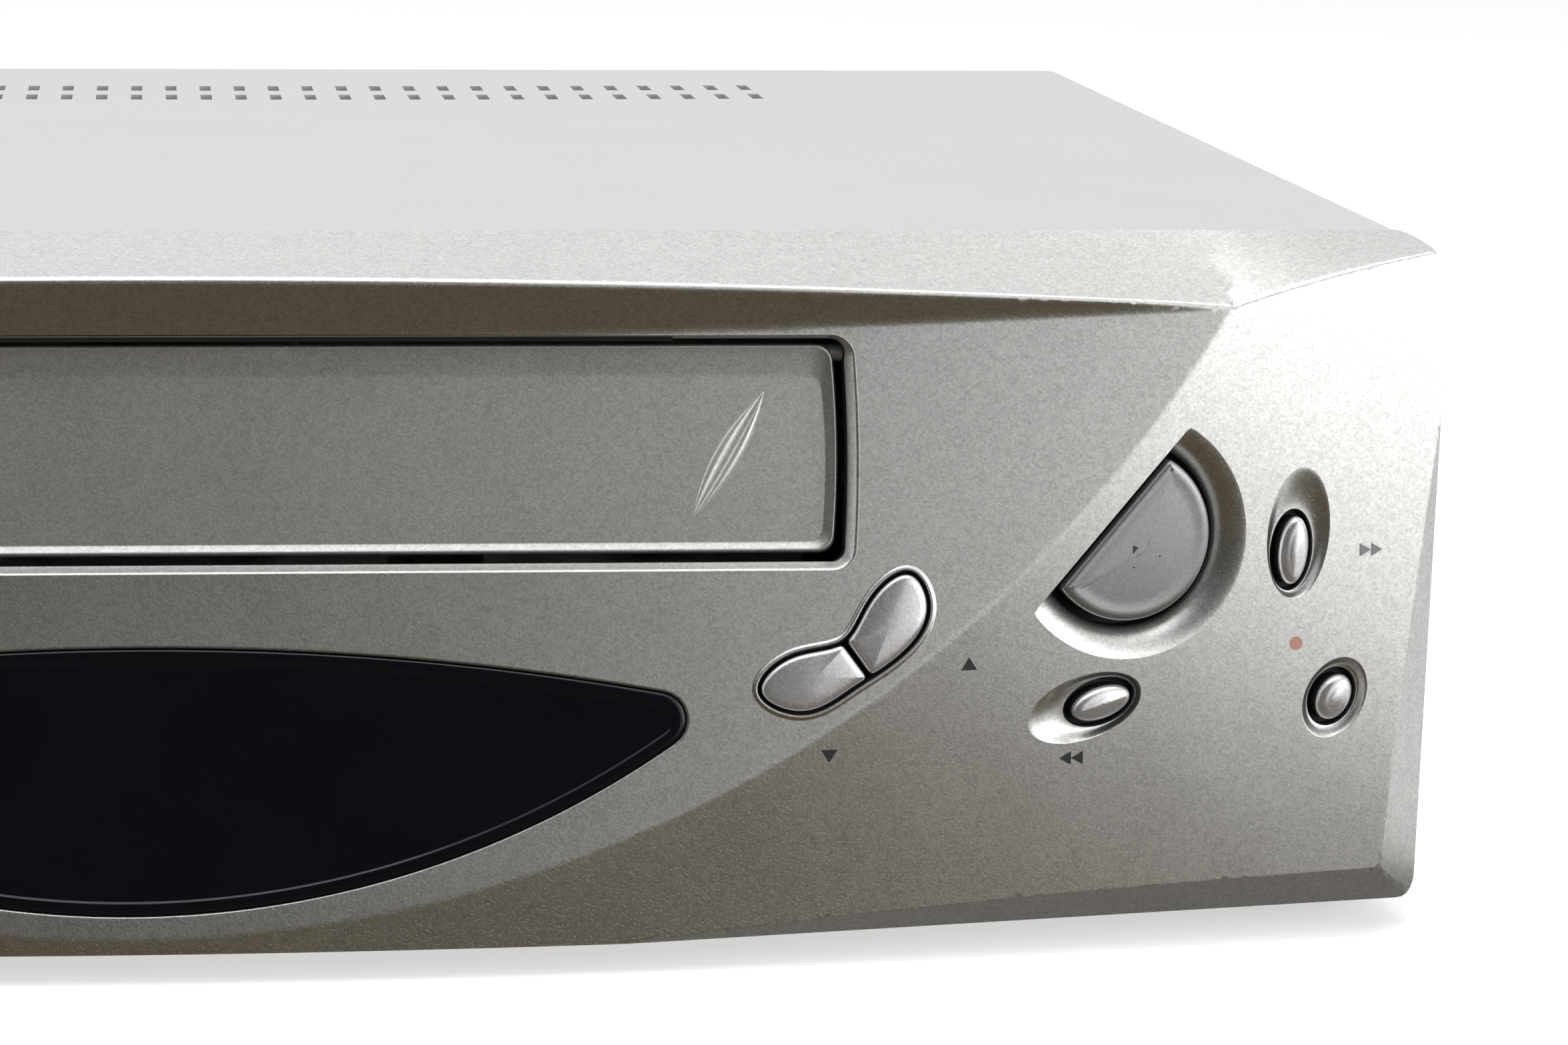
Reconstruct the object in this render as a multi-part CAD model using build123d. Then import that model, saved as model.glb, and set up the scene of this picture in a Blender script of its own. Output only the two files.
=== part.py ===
from build123d import *
import os
from math import atan, cos, degrees, hypot, radians, sin, tan

# A slim front-loading VHS video cassette recorder. Millimetres, +Z up, the front faces -Y.
# While it is modelled, y = 0 is the seam between the front panel and the top cover, z = 0 is the floor
# and x = 0 the middle of the set. When the pieces are written they are moved back along Y by one amount,
# so that the origin ends up under the middle of the bounding box.

# ---- driving dimensions -------------------------------------------------------------------------------
# casing
half_width_top = 180.0
half_width_bottom = 178.8
foot_height = 4.0
height = 97.0
outline_top_radius = 5.0
outline_bottom_radius = 3.0
panel_wall = 2.5
cover_step_in = 1.6
cover_length = 248.0
cover_sheet = 1.0
cover_corner_radius = 4.5
cover_hem_z = 9.0
tray_floor = 2.4
tray_rim_height = 14.0
tray_rim_wall = 2.0
rear_sheet = 1.5
fit_gap = 0.3
press_gap = 0.15

# front face: a flat leaning face inside a circular ridge, and a conical skirt outside the ridge
face_slope = 0.1975
face_reach = 32.79
ridge_radius = 174.27
ridge_centre_u = 180.49
skirt_slope = 0.22

# brow that overhangs the face between the two corners where the ridge meets it
brow_half_width = 149.0
brow_reach_middle = 20.0
brow_reach_end = 15.2
brow_z_middle = 93.0
brow_z_end = 88.4
undercut_z_middle = 84.6
undercut_z_end = 88.6
roof_slope_side = 0.18

# bevels along the lower and outer edges of the front
side_bevel_z = 74.0
side_bevel_inset = 8.0
side_bevel_depth = 7.0
low_bevel_z = 9.6
low_bevel_x = 91.0
low_bevel_inner_z = 6.2
low_bevel_depth = 5.0

# cassette standard
cassette_width = 188.0
cassette_depth = 104.0
cassette_height = 25.0
reel_spacing = 92.0
reel_to_cassette_front = 46.0

# cassette aperture and flap, u is measured up the leaning face
aperture_u_low = 54.6
aperture_u_high = 86.2
aperture_half_width = 96.6
aperture_bulge = 0.7
aperture_radius = 2.8
flap_setback = 3.6
flap_thickness = 1.8
flap_margin_side = 2.2
flap_margin_low = 2.4
flap_margin_high = 0.8
flap_radius = 2.0
flap_pin_radius = 1.2
flap_pin_drop = 1.8
relief_half_length = 9.9
relief_width = 3.6
relief_height = 0.5
running_gap = 0.05

# display window
window_top_u = 44.65
window_top_radius = 395.0
window_low_u = 9.5
window_low_radius = 127.8
window_tip_radius = 5.6
window_rim = 1.6
window_proud = 0.25
window_flange = 1.4

# keys
key_proud = 0.5
key_travel = 1.2
key_flange = 1.2
key_flange_rim = 1.4
play_from_side = 45.4
play_u = 59.1
play_radius = 11.8
play_hole_radius = 13.0
play_dish_radius = 16.4
play_chord = 2.0
play_hole_chord = 3.2
play_dish_chord = 4.4
play_dish_depth = 2.4
play_stem_shift = 3.0
forward_from_side = 21.6
rewind_from_side = 48.9
record_from_side = 15.3
oval_hole_gap = 1.0
oval_dimple_depth = 1.3
board_w = -21.0
board_sheet = 1.6
switch_height = 3.5
switch_side = 6.0
stem_radius = 2.0

# cover vents
vent_pitch = 6.15
vent_count = 37
vent_width = 2.0
vent_length = 9.0
vent_row_front_y = 191.8
vent_row_rear_y = 208.6
vent_bow = 3.6

# deck and transport
deck_top_z = 24.0
deck_sheet = 1.5
deck_half_width = 107.0
deck_front_y = 22.0
deck_rear_y = 238.0
deck_bolt_front_x = 88.0
deck_bolt_front_y = 30.0
deck_bolt_rear_x = 68.0
deck_bolt_rear_y = 230.0
deck_post_radius = 4.0
bay_front_y = 20.0
bay_floor_z = 54.6
holder_sheet = 1.0
holder_side_gap = 0.75
holder_lip = 6.0
holder_travel = 30.0
holder_drop = 24.0
slide_sheet = 1.0
bracket_sheet = 1.4
drum_y = 200.0
drum_radius = 31.0
drum_tilt = 5.97
drum_lower_height = 15.0
drum_gap = 0.35
drum_upper_height = 20.0
drum_boss_radius = 20.0
guide_path_radius = 55.0
guide_rest_angle = 20.0
guide_swing = 85.0
guide_arm_sheet = 1.5
guide_post_radius = 2.4
guide_post_top_z = 53.0
capstan_x, capstan_y = 70.0, 172.0
capstan_radius = 2.0
capstan_top_z = 52.0
pinch_roller_radius = 8.0
pinch_angle = -25.0
pinch_pivot_x, pinch_pivot_y = 94.0, 188.0
pinch_swing = 22.0
reel_radius = 21.0
reel_hub_radius = 6.2
reel_top_z = 41.0
idler_wheel_radius = 15.0
idler_pivot_back = 34.0
idler_arm_length = 30.0
axle_radius = 2.0

# electronics
main_board_z = 8.6
main_board_margin = 5.0

# ---- derived places -----------------------------------------------------------------------------------
cover_half_width = half_width_top - cover_step_in
play_x = half_width_top - play_from_side
lean = degrees(atan(face_slope))
skirt_angle = degrees(atan(skirt_slope))
face_out = Vector(0, -cos(radians(lean)), sin(radians(lean)))
# u runs up the leaning face from the floor line, w stands out of it
face = Plane(origin=(0, -face_reach, 0), x_dir=(1, 0, 0), z_dir=face_out)
sheet_size = 420.0
rear_inner_y = cover_length - rear_sheet
tray_top_z = foot_height + tray_floor
deck_low_z = deck_top_z - deck_sheet
holder_inner_half = cassette_width / 2 + holder_side_gap
bay_rear_y = bay_front_y + cassette_depth
reel_y = bay_front_y + holder_travel + reel_to_cassette_front


def drop_behind_face(x, u):
    """How far the skirt lies behind the leaning face at (x, u); nothing inside the ridge."""
    return skirt_slope * max(0.0, hypot(x, ridge_centre_u - u) - ridge_radius)


def seat(x, u):
    """A plane on the front surface at (x, u), with its z out of the surface and its x level."""
    run = hypot(x, ridge_centre_u - u)
    origin = face.from_local_coords(Vector(x, u, -drop_behind_face(x, u)))
    if run <= ridge_radius:
        return Plane(origin=origin, x_dir=(1, 0, 0), z_dir=face.z_dir)
    away = face.x_dir * (x / run) + face.y_dir * ((u - ridge_centre_u) / run)
    out = face.z_dir * cos(radians(skirt_angle)) + away * sin(radians(skirt_angle))
    level = Vector(0, 0, 1).cross(out)
    return Plane(origin=origin, x_dir=level, z_dir=out)


def mirrored(shape):
    """The same shape on the other side of the middle."""
    return mirror(shape, about=Plane.YZ)


def disc(x, y, z_low, z_high, radius):
    """An upright cylinder between two heights."""
    return Pos(x, y, z_low) * Cylinder(radius, z_high - z_low, align=(Align.CENTER, Align.CENTER, Align.MIN))


def block(x_low, x_high, y_low, y_high, z_low, z_high):
    """A box between its limits."""
    low = (Align.MIN, Align.MIN, Align.MIN)
    return Pos(x_low, y_low, z_low) * Box(x_high - x_low, y_high - y_low, z_high - z_low, align=low)


def above(plane, size=sheet_size):
    """A large block on the outer side of a plane."""
    return plane * Pos(0, 0, size / 2) * Box(size, size, size)


# ---- front panel --------------------------------------------------------------------------------------
def roof_slope(share):
    """Fall of the panel's roof per mm forward, at a share of the way from the middle to the brow's end."""
    reach = brow_reach_middle + (brow_reach_end - brow_reach_middle) * share**2
    edge_z = brow_z_middle + (brow_z_end - brow_z_middle) * share**2
    return (height - edge_z) / reach


def section_at(x, points):
    """A closed outline in the plane across the set at x, given as (y, z) points."""
    across = Plane(origin=(x, 0, 0), x_dir=(0, 1, 0), z_dir=(1, 0, 0))
    return across * make_face(Polyline(*points, close=True))


def brow_shares():
    """Even steps from one end of the brow to the other, as shares of its half width."""
    return [step / 4 - 1 for step in range(9)]


def sky_section(x, slope):
    """What lies above the roof at x."""
    far = face_reach + 14
    return section_at(x, [(1, height + slope), (-far, height - slope * far), (-far, height + 30), (1, height + 30)])


def roof_cutters():
    """The space above the panel's roof: a curved middle and two plain sides."""
    middle = loft([sky_section(s * brow_half_width, roof_slope(s)) for s in brow_shares()])
    end = sky_section(brow_half_width, roof_slope(1))
    outer = sky_section(half_width_top + 1, roof_slope_side)
    side = loft([end, outer], ruled=True)
    return [middle, side, mirrored(side)]


def brow_block():
    """The brow before its roof is cut: it hangs in front of the face and fades out at its ends."""
    sections = []
    for share in brow_shares():
        reach = brow_reach_middle + (brow_reach_end - brow_reach_middle) * share**2
        edge_z = brow_z_middle + (brow_z_end - brow_z_middle) * share**2
        root_z = undercut_z_middle + (undercut_z_end - undercut_z_middle) * share**2
        lean_z = brow_z_middle - undercut_z_middle
        lean_y = brow_reach_middle - (face_reach - face_slope * undercut_z_middle)
        deep = max(edge_z - root_z, 0) / lean_z + 0.5
        foot = (-reach + lean_y * deep, edge_z - lean_z * deep)
        tip = (-reach - lean_y * 0.6, edge_z + lean_z * 0.6)
        sections.append(section_at(share * brow_half_width, [foot, tip, (-6, height + 3), (-6, foot[1])]))
    return loft(sections)


def side_bevel(inset):
    """The space outside the bevel along the right edge of the front."""
    top_drop = face.from_local_coords(Vector(0, 0, 0)).Y
    top_y = top_drop + face_slope * side_bevel_z + drop_behind_face(half_width_top, side_bevel_z / cos(radians(lean)))
    low_x = half_width_top - side_bevel_inset
    low_y = top_drop + face_slope * low_bevel_z + drop_behind_face(low_x, low_bevel_z / cos(radians(lean)))
    a = Vector(half_width_top, top_y, side_bevel_z)
    b = Vector(low_x, low_y, low_bevel_z)
    c = Vector(half_width_bottom, low_y + side_bevel_depth, low_bevel_z)
    out = (b - a).cross(c - a).normalized()
    out = out if out.X > 0 else out * -1
    return above(Plane(origin=a - out * inset, z_dir=out))


def low_bevel(inset):
    """The space outside the bevel along the right half of the lower edge."""
    far_x = half_width_top - side_bevel_inset
    top = -face_reach
    far_y = top + face_slope * low_bevel_z + drop_behind_face(far_x, low_bevel_z / cos(radians(lean)))
    near_u = low_bevel_inner_z / cos(radians(lean))
    near_y = top + face_slope * low_bevel_inner_z + drop_behind_face(low_bevel_x, near_u)
    a = Vector(far_x, far_y, low_bevel_z)
    b = Vector(low_bevel_x, near_y, low_bevel_inner_z)
    c = Vector(far_x, far_y + low_bevel_depth, foot_height)
    out = (b - a).cross(c - a).normalized()
    out = out if out.Z < 0 else out * -1
    return above(Plane(origin=a - out * inset, z_dir=out))


def panel_outline(inset):
    """The front outline seen from the front, with drafted sides and rounded corners."""
    half_top = half_width_top - inset
    half_low = half_width_bottom - inset
    low, high = foot_height + inset, height - inset
    outline = make_face(Polyline((-half_low, low), (half_low, low), (half_top, high), (-half_top, high), close=True))
    corners = outline.vertices().sort_by(Axis.Y)
    outline = fillet(corners[-2:], max(outline_top_radius - inset, 0.5))
    return fillet(outline.vertices().sort_by(Axis.Y)[:2], max(outline_bottom_radius - inset, 0.5))


def front_shape(inset, roofs):
    """The front as a solid, pulled in from its surface by an inset; the brow belongs to the surface only."""
    solid = extrude(Plane.XZ * panel_outline(inset), amount=face_reach + 10)
    depth = face_reach + 8
    frustum = Cone(ridge_radius + depth / skirt_slope, ridge_radius, depth)
    solid = solid & (face * Pos(0, ridge_centre_u, -depth / 2 - inset) * frustum)
    if not inset:
        solid = solid + brow_block()
    for roof in roofs:
        solid = solid - Pos(0, 0, -inset) * roof
    for bevel in (side_bevel(inset), low_bevel(inset)):
        solid = solid - bevel - mirrored(bevel)
    return solid


def aperture_outline(margin_side, margin_low, margin_high, radius):
    """The cassette aperture's outline, or the flap's with its margins: the sides bulge a little."""
    low = aperture_u_low + margin_low
    high = aperture_u_high - margin_high
    half = aperture_half_width - margin_side
    bulge = half + aperture_bulge
    middle = (low + high) / 2
    right = ThreePointArc((half, low), (bulge, middle), (half, high))
    left = ThreePointArc((-half, high), (-bulge, middle), (-half, low))
    outline = make_face([Line((-half, low), (half, low)), right, Line((half, high), (-half, high)), left])
    return fillet(outline.vertices(), radius)


def window_outline(grow):
    """The display window: two arcs that meet in rounded tips."""
    top = Pos(0, window_top_u - window_top_radius) * Circle(window_top_radius + grow)
    low = Pos(0, window_low_u + window_low_radius) * Circle(window_low_radius + grow)
    outline = top & low
    return fillet(outline.vertices(), window_tip_radius)


def d_outline(radius, chord):
    """A disc cut off by a chord that faces the ridge."""
    toward_ridge = degrees(atan((ridge_centre_u - play_u) / play_x))
    cut = Rot(0, 0, 180 - toward_ridge) * Pos(chord + radius, 0) * Rectangle(2 * radius, 4 * radius)
    return Circle(radius) - cut


# Each small oval key: its place, its half axes and their tilt, then its dimple's offset, half axes and tilt.
oval_keys = {
    "fast_forward": dict(x=half_width_top - forward_from_side, u=56.9, half=(2.15, 4.7), tilt=-6,
                         shift=(0.6, 2.4), dimple=(4.6, 9.1)),
    "rewind": dict(x=half_width_top - rewind_from_side, u=36.3, half=(4.3, 2.2), tilt=17,
                   shift=(-2.4, -0.5), dimple=(8.4, 4.4)),
    "record": dict(x=half_width_top - record_from_side, u=36.7, half=(3.3, 2.4), tilt=60,
                   shift=(0, 0), dimple=(5.9, 4.4)),
}

gap_points = [(83.4, 38.3), (87.5, 43.2), (95.1, 45.4), (98.6, 50.8), (104.6, 54.4), (107, 50.2), (103.6, 43.3),
              (96.5, 38.4), (88.6, 35.2)]
down_key_points = [(85.0, 38.0), (89.4, 42.4), (95.4, 43.4), (96.9, 40.8), (92.6, 37.4), (88.0, 36.6)]
up_key_points = [(97.0, 43.9), (98.3, 47.6), (101.4, 51.3), (104.8, 52.5), (105.2, 49.4), (103.0, 45.0), (98.6, 41.7)]


def closed_curve(points):
    """A smooth closed outline through a few points."""
    return make_face(Spline(*points, periodic=True))


def oval_seat(key):
    """The surface plane of an oval key, turned by its tilt."""
    return seat(key["x"], key["u"]) * Rot(0, 0, key["tilt"])


def dimple_cutter(key):
    """A shallow oval bowl around a key."""
    half_x, half_y = key["dimple"]
    shift_x, shift_y = key["shift"]
    ball = scale(Sphere(1), by=(half_x, half_y, oval_dimple_depth))
    return seat(key["x"], key["u"]) * Pos(shift_x, shift_y, 0) * Rot(0, 0, key["tilt"]) * ball


def oval_hole(key, grow, low, high):
    """An upright oval prism between two depths on a key's seat."""
    half_x, half_y = key["half"]
    profile = Ellipse(half_x + grow, half_y + grow)
    return oval_seat(key) * Pos(0, 0, low) * extrude(profile, amount=high - low)


def play_seat():
    """The surface plane of the play key."""
    return seat(play_x, play_u)


def play_dish():
    """The D-shaped dish around the play key, narrower towards its floor."""
    rim = Pos(0, 0, 0.6) * d_outline(play_dish_radius + 0.8, play_dish_chord + 0.3)
    floor = Pos(0, 0, -play_dish_depth) * d_outline(play_hole_radius, play_hole_chord)
    return play_seat() * loft([rim, floor], ruled=True)


board_inner_x, board_low_u, board_high_u = 80.0, 18.0, 76.0
board_outer_x = half_width_top - 10.0
board_posts_right = [(board_inner_x + 29, board_low_u + 9), (board_outer_x - 20, board_high_u - 4),
                     (board_outer_x - 20, board_low_u + 4)]
board_posts_middle = [(80.0, 48.0), (64.0, 16.0)]
display_board_w = -17.0


def panel_post(x, u, back_w, inner):
    """A round post from the panel's wall back to a board."""
    post = face * Pos(x, u, back_w) * Cylinder(3.0, -back_w, align=(Align.CENTER, Align.CENTER, Align.MIN))
    return post & inner


def make_front_panel():
    """The moulded front: one shell with the aperture, window, dishes, holes, hinge cheeks and board posts."""
    roofs = roof_cutters()
    outer = front_shape(0, roofs)
    hollow = front_shape(panel_wall, roofs)
    half_wall = front_shape(panel_wall / 2, roofs)
    hollow = hollow + extrude(Plane.XZ * panel_outline(panel_wall), amount=-1)
    panel = outer - hollow
    # thicker wall behind the play dish, on both sides
    pad = play_seat() * Pos(0, 0, -play_dish_depth - panel_wall) * extrude(
        Circle(play_dish_radius + 0.8), amount=panel_wall + 1)
    pad = pad & half_wall
    cheek_x = aperture_half_width + aperture_bulge + 1.2
    cheek = face * Pos(cheek_x, (flap_hinge_u + aperture_u_low) / 2 + 6, -panel_wall / 2 - 5) * Box(
        2.4, aperture_u_high - aperture_u_low - 8, 10)
    additions = [pad, cheek & half_wall]
    for x, u in board_posts_right:
        additions.append(panel_post(x, u, board_w, half_wall))
    for x, u in board_posts_middle:
        additions.append(panel_post(x, u, display_board_w, half_wall))
    for piece in additions:
        panel = panel + piece + mirrored(piece)
    # openings through the wall
    for outline in (aperture_outline(0, 0, 0, aperture_radius), window_outline(press_gap)):
        panel = panel - face * Pos(0, 0, -2 * panel_wall) * extrude(outline, amount=4 * panel_wall)
    right = [play_dish()]
    right.append(play_seat() * Pos(0, 0, -20) * extrude(d_outline(play_hole_radius, play_hole_chord), amount=40))
    for key in oval_keys.values():
        right.append(dimple_cutter(key))
        right.append(oval_hole(key, oval_hole_gap, -20, 10))
    for cutter in right:
        panel = panel - cutter - mirrored(cutter)
    panel = panel - face * Pos(0, 0, -2 * panel_wall) * extrude(closed_curve(gap_points), amount=4 * panel_wall)
    hinge = face * Pos(0, flap_hinge_u, flap_hinge_w) * Rot(0, 90, 0) * Cylinder(
        flap_pin_radius + running_gap, 2 * cheek_x + 10)
    return panel - hinge


# ---- cassette flap ------------------------------------------------------------------------------------
flap_hinge_u = aperture_u_high - flap_margin_high - flap_pin_drop + 0.6
flap_hinge_w = -flap_setback - flap_thickness / 2


def make_flap():
    """The flap: a bulged plate with a slim raised accent near each end and a pin at each upper corner."""
    outline = aperture_outline(flap_margin_side, flap_margin_low, flap_margin_high, flap_radius)
    plate = face * Pos(0, 0, -flap_setback - flap_thickness) * extrude(outline, amount=flap_thickness)
    pin_end = aperture_half_width + aperture_bulge + 5.0
    pins = face * Pos(0, flap_hinge_u, flap_hinge_w) * Rot(0, 90, 0) * Cylinder(flap_pin_radius, 2 * pin_end)
    span = aperture_half_width - flap_margin_side
    middle = face * Pos(0, flap_hinge_u, flap_hinge_w) * Rot(0, 90, 0) * Cylinder(flap_pin_radius + 1, 2 * span - 4)
    pins = pins - middle
    # accent: two circles meet in a slim pointed lens that leans outwards
    bow = (relief_half_length**2 + (relief_width / 2) ** 2) / relief_width
    lens = Pos(bow - relief_width / 2, 0) * Circle(bow) & Pos(-bow + relief_width / 2, 0) * Circle(bow)
    lens = extrude(Rot(0, 0, -30) * lens, amount=relief_height)
    accent = face * Pos(80.1, 70.3, -flap_setback) * lens
    return plate + pins + accent + mirrored(accent)


def make_flap_spring():
    """The coil of the flap's torsion spring, around its right pin and clear of it."""
    middle = aperture_half_width + aperture_bulge + 3.6
    coil = Cylinder(flap_pin_radius + 0.75, 1.8) - Cylinder(flap_pin_radius + fit_gap, 3)
    return face * Pos(middle, flap_hinge_u, flap_hinge_w) * Rot(0, 90, 0) * coil


# ---- display window and keys --------------------------------------------------------------------------
def make_window():
    """The dark window: a plug that fills the opening, on a flange behind the wall."""
    plug = Pos(0, 0, -panel_wall) * extrude(window_outline(0), amount=panel_wall + window_proud)
    flange = Pos(0, 0, -panel_wall - window_flange) * extrude(window_outline(window_rim), amount=window_flange)
    return face * (plug + flange)


def stem_to_switch(place, wall_back, shift_x=0.0, shift_y=0.0):
    """A round stem from a key's flange to its travel above the switch, which its tilted end has to clear."""
    start = face.to_local_coords(place.from_local_coords(Vector(shift_x, shift_y, -wall_back)))
    tilt_room = stem_radius * tan(radians(skirt_angle))
    length = (start.Z - board_w - switch_height) / cos(radians(skirt_angle)) - key_travel - tilt_room - fit_gap
    return Pos(shift_x, shift_y, -wall_back) * Rot(180, 0, 0) * Cylinder(
        stem_radius, length, align=(Align.CENTER, Align.CENTER, Align.MIN))


def make_oval_key(key):
    """A small domed oval key with its flange behind the wall and its stem."""
    half_x, half_y = key["half"]
    back = panel_wall + fit_gap
    cap = Pos(0, 0, -back - 0.1) * extrude(Ellipse(half_x, half_y), amount=back + key_proud)
    cap = fillet(cap.edges().sort_by(Axis.Z)[-1], min(half_x, half_y) * 0.45)
    flange = Pos(0, 0, -back - key_flange) * extrude(
        Ellipse(half_x + oval_hole_gap + key_flange_rim, half_y + oval_hole_gap + key_flange_rim), amount=key_flange)
    stem = stem_to_switch(seat(key["x"], key["u"]), back + key_flange)
    return oval_seat(key) * (cap + flange + stem)


def make_play_key():
    """The large D-shaped key, slightly domed, with a plain raised triangle."""
    back = play_dish_depth + panel_wall + fit_gap
    cap = Pos(0, 0, -back - 0.1) * extrude(d_outline(play_radius, play_chord), amount=back + 0.1 + key_proud)
    cap = fillet(cap.edges().group_by(Axis.Z)[-1], 0.8)
    flange = Pos(0, 0, -back - key_flange) * extrude(
        d_outline(play_hole_radius + key_flange_rim, play_hole_chord + key_flange_rim), amount=key_flange)
    stem = stem_to_switch(play_seat(), back + key_flange, play_stem_shift, -play_stem_shift)
    return play_seat() * (cap + flange + stem)


def make_channel_key(points):
    """A petal-shaped key in the common opening, with its stem."""
    back = panel_wall + fit_gap
    cap = Pos(0, 0, -back - key_flange) * extrude(closed_curve(points), amount=back + key_flange + key_proud)
    cap = chamfer(cap.edges().group_by(Axis.Z)[-1], 0.3)
    mid_x = sum(p[0] for p in points) / len(points)
    mid_u = sum(p[1] for p in points) / len(points)
    length = -board_w - switch_height - key_travel - fit_gap - back
    stem = Pos(mid_x, mid_u, -back - length) * Cylinder(
        stem_radius, length, align=(Align.CENTER, Align.CENTER, Align.MIN))
    return face * (cap + stem), (mid_x, mid_u)


def board_plate(outline_low, outline_high, w, posts):
    """A circuit board behind the face, with a screw hole over each post."""
    (x_low, u_low), (x_high, u_high) = outline_low, outline_high
    plate = face * Pos((x_low + x_high) / 2, (u_low + u_high) / 2, w - board_sheet / 2) * Box(
        x_high - x_low, u_high - u_low, board_sheet)
    for x, u in posts:
        plate = plate - face * Pos(x, u, w) * Cylinder(1.3, 4 * board_sheet)
    return plate


def flap_room():
    """The space that the flap swings through, kept free of the key boards."""
    half = aperture_half_width + aperture_bulge + 1
    return face * Pos(0, aperture_u_low + 20, board_w) * Box(2 * half, 40, 10)


def switch_at(x, u):
    """A small push switch on the key board: a square body and a round plunger."""
    body = Pos(x, u, board_w + (switch_height - 1) / 2) * Box(switch_side, switch_side, switch_height - 1)
    plunger = Pos(x, u, board_w + switch_height - 0.5) * Cylinder(1.7, 1.0)
    return face * (body + plunger)


def axis_on_board(place, shift_x=0.0, shift_y=0.0):
    """Where a key's axis meets the key board, as (x, u)."""
    start = place.from_local_coords(Vector(shift_x, shift_y, 0))
    local = face.to_local_coords(start)
    step = face.to_local_coords(start - place.z_dir) - local
    share = (board_w + switch_height - local.Z) / step.Z
    return local.X + step.X * share, local.Y + step.Y * share


# ---- casing -------------------------------------------------------------------------------------------
def make_cover():
    """The folded steel cover: roof, two sides and two bowed rows of vent slots."""
    def profile(inset, low):
        half = cover_half_width - inset
        top = height - inset
        shape = make_face(Polyline((-half, low), (half, low), (half, top), (-half, top), close=True))
        return fillet(shape.vertices().sort_by(Axis.Y)[-2:], cover_corner_radius - inset)

    shell = extrude(Plane.XZ * (profile(0, cover_hem_z) - profile(cover_sheet, cover_hem_z - 1)), amount=-cover_length)
    slots = []
    for row_y in (vent_row_front_y, vent_row_rear_y):
        for index in range(vent_count):
            x = (index - (vent_count - 1) / 2) * vent_pitch
            y = row_y + vent_bow * (x / (vent_pitch * (vent_count - 1) / 2)) ** 2
            slots.append(Pos(x, y, height) * Box(vent_width, vent_length, 4 * cover_sheet))
    return shell - slots - cover_screw_holes()


tray_half = cover_half_width - cover_sheet - fit_gap
cover_screw_z = 14.0
cover_screw_places = [(side, y) for side in (-1, 1) for y in (40.0, 200.0)]
cover_screw_radius = 1.5
cover_screw_head = 1.4


def cover_screw_holes():
    """The holes of the cover's side screws, through the cover and the tray's rim."""
    holes = []
    for side, y in cover_screw_places:
        hole = Rot(0, 90, 0) * Cylinder(cover_screw_radius + running_gap, 16)
        holes.append(Pos(side * tray_half, y, cover_screw_z) * hole)
    return holes


post_places = [(-deck_bolt_front_x, deck_bolt_front_y), (deck_bolt_front_x, deck_bolt_front_y),
               (-deck_bolt_rear_x, deck_bolt_rear_y), (deck_bolt_rear_x, deck_bolt_rear_y)]
board_places = [(x, y) for x in (-160.0, 160.0) for y in (24.0, 228.0)]
foot_places = [(x, y) for x in (-150.0, 150.0) for y in (18.0, 222.0)]
foot_radius = 9.0
foot_plug_radius = 3.0


def make_tray():
    """The moulded tray: floor, low rim, deck posts, board posts and cooling slots."""
    back = rear_inner_y - press_gap
    tray = block(-tray_half, tray_half, fit_gap, back, foot_height, tray_top_z)
    rim_top = foot_height + tray_rim_height
    rim = block(-tray_half, tray_half, fit_gap, back, tray_top_z, rim_top)
    rim = rim - block(-tray_half + tray_rim_wall, tray_half - tray_rim_wall, tray_rim_wall, back + 1, 0, rim_top + 1)
    tray = tray + rim - cover_screw_holes()
    for x, y in post_places:
        tray = tray + disc(x, y, tray_top_z, deck_low_z, deck_post_radius)
        tray = tray - disc(x, y, deck_low_z - 8, deck_low_z + 1, small_bolt_radius + running_gap)
    for x, y in board_places:
        tray = tray + disc(x, y, tray_top_z, main_board_z, 4.0)
        tray = tray - disc(x, y, main_board_z - 1.5, main_board_z + 1, 1.2)
    for x, y in foot_places:
        tray = tray - disc(x, y, 0, height, foot_plug_radius + press_gap)
    for row in range(3):
        for column in range(8):
            x, y = -150 + 14 * column, 60 + 45 * row
            tray = tray - block(x, x + 4, y, y + 30, 0, tray_top_z + 0.5)
    return tray


def make_feet():
    """Four round rubber feet with a plug in the tray."""
    feet = []
    for x, y in foot_places:
        pad = disc(x, y, 0, foot_height, foot_radius)
        pad = chamfer(pad.edges().group_by(Axis.Z)[0], 0.8)
        feet.append(pad + disc(x, y, foot_height, tray_top_z, foot_plug_radius))
    return feet


scart_places = [(150.0, 33.0), (150.0, 56.0)]
scart_half_width, scart_half_height = 23.5, 7.0
jack_radius = 4.15
jack_places = [(-116.0, 27.0), (-116.0, 45.0)]
aerial_places = [(117.0, 30.0), (117.0, 52.0)]
inlet_x, inlet_z = -152.0, 36.0
inlet_half_width, inlet_half_height = 10.5, 7.5
socket_reach = 9.0


def make_rear_panel():
    """The steel back plate with an opening for each socket."""
    half = cover_half_width - cover_sheet - press_gap
    plate = block(-half, half, rear_inner_y, rear_inner_y + rear_sheet, tray_top_z + press_gap,
                  height - cover_sheet - press_gap)
    corners = plate.edges().filter_by(Axis.Y).group_by(Axis.Z)[-1]
    plate = fillet(corners, cover_corner_radius - cover_sheet)
    for x, z in scart_places:
        plate = plate - block(x - scart_half_width, x + scart_half_width, 200, 300, z - scart_half_height,
                              z + scart_half_height)
    for x, z in jack_places + aerial_places:
        plate = plate - Pos(x, rear_inner_y, z) * Rot(90, 0, 0) * Cylinder(jack_radius + 1.6, 10)
    return plate - block(inlet_x - inlet_half_width, inlet_x + inlet_half_width, 200, 300,
                         inlet_z - inlet_half_height, inlet_z + inlet_half_height)


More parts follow.
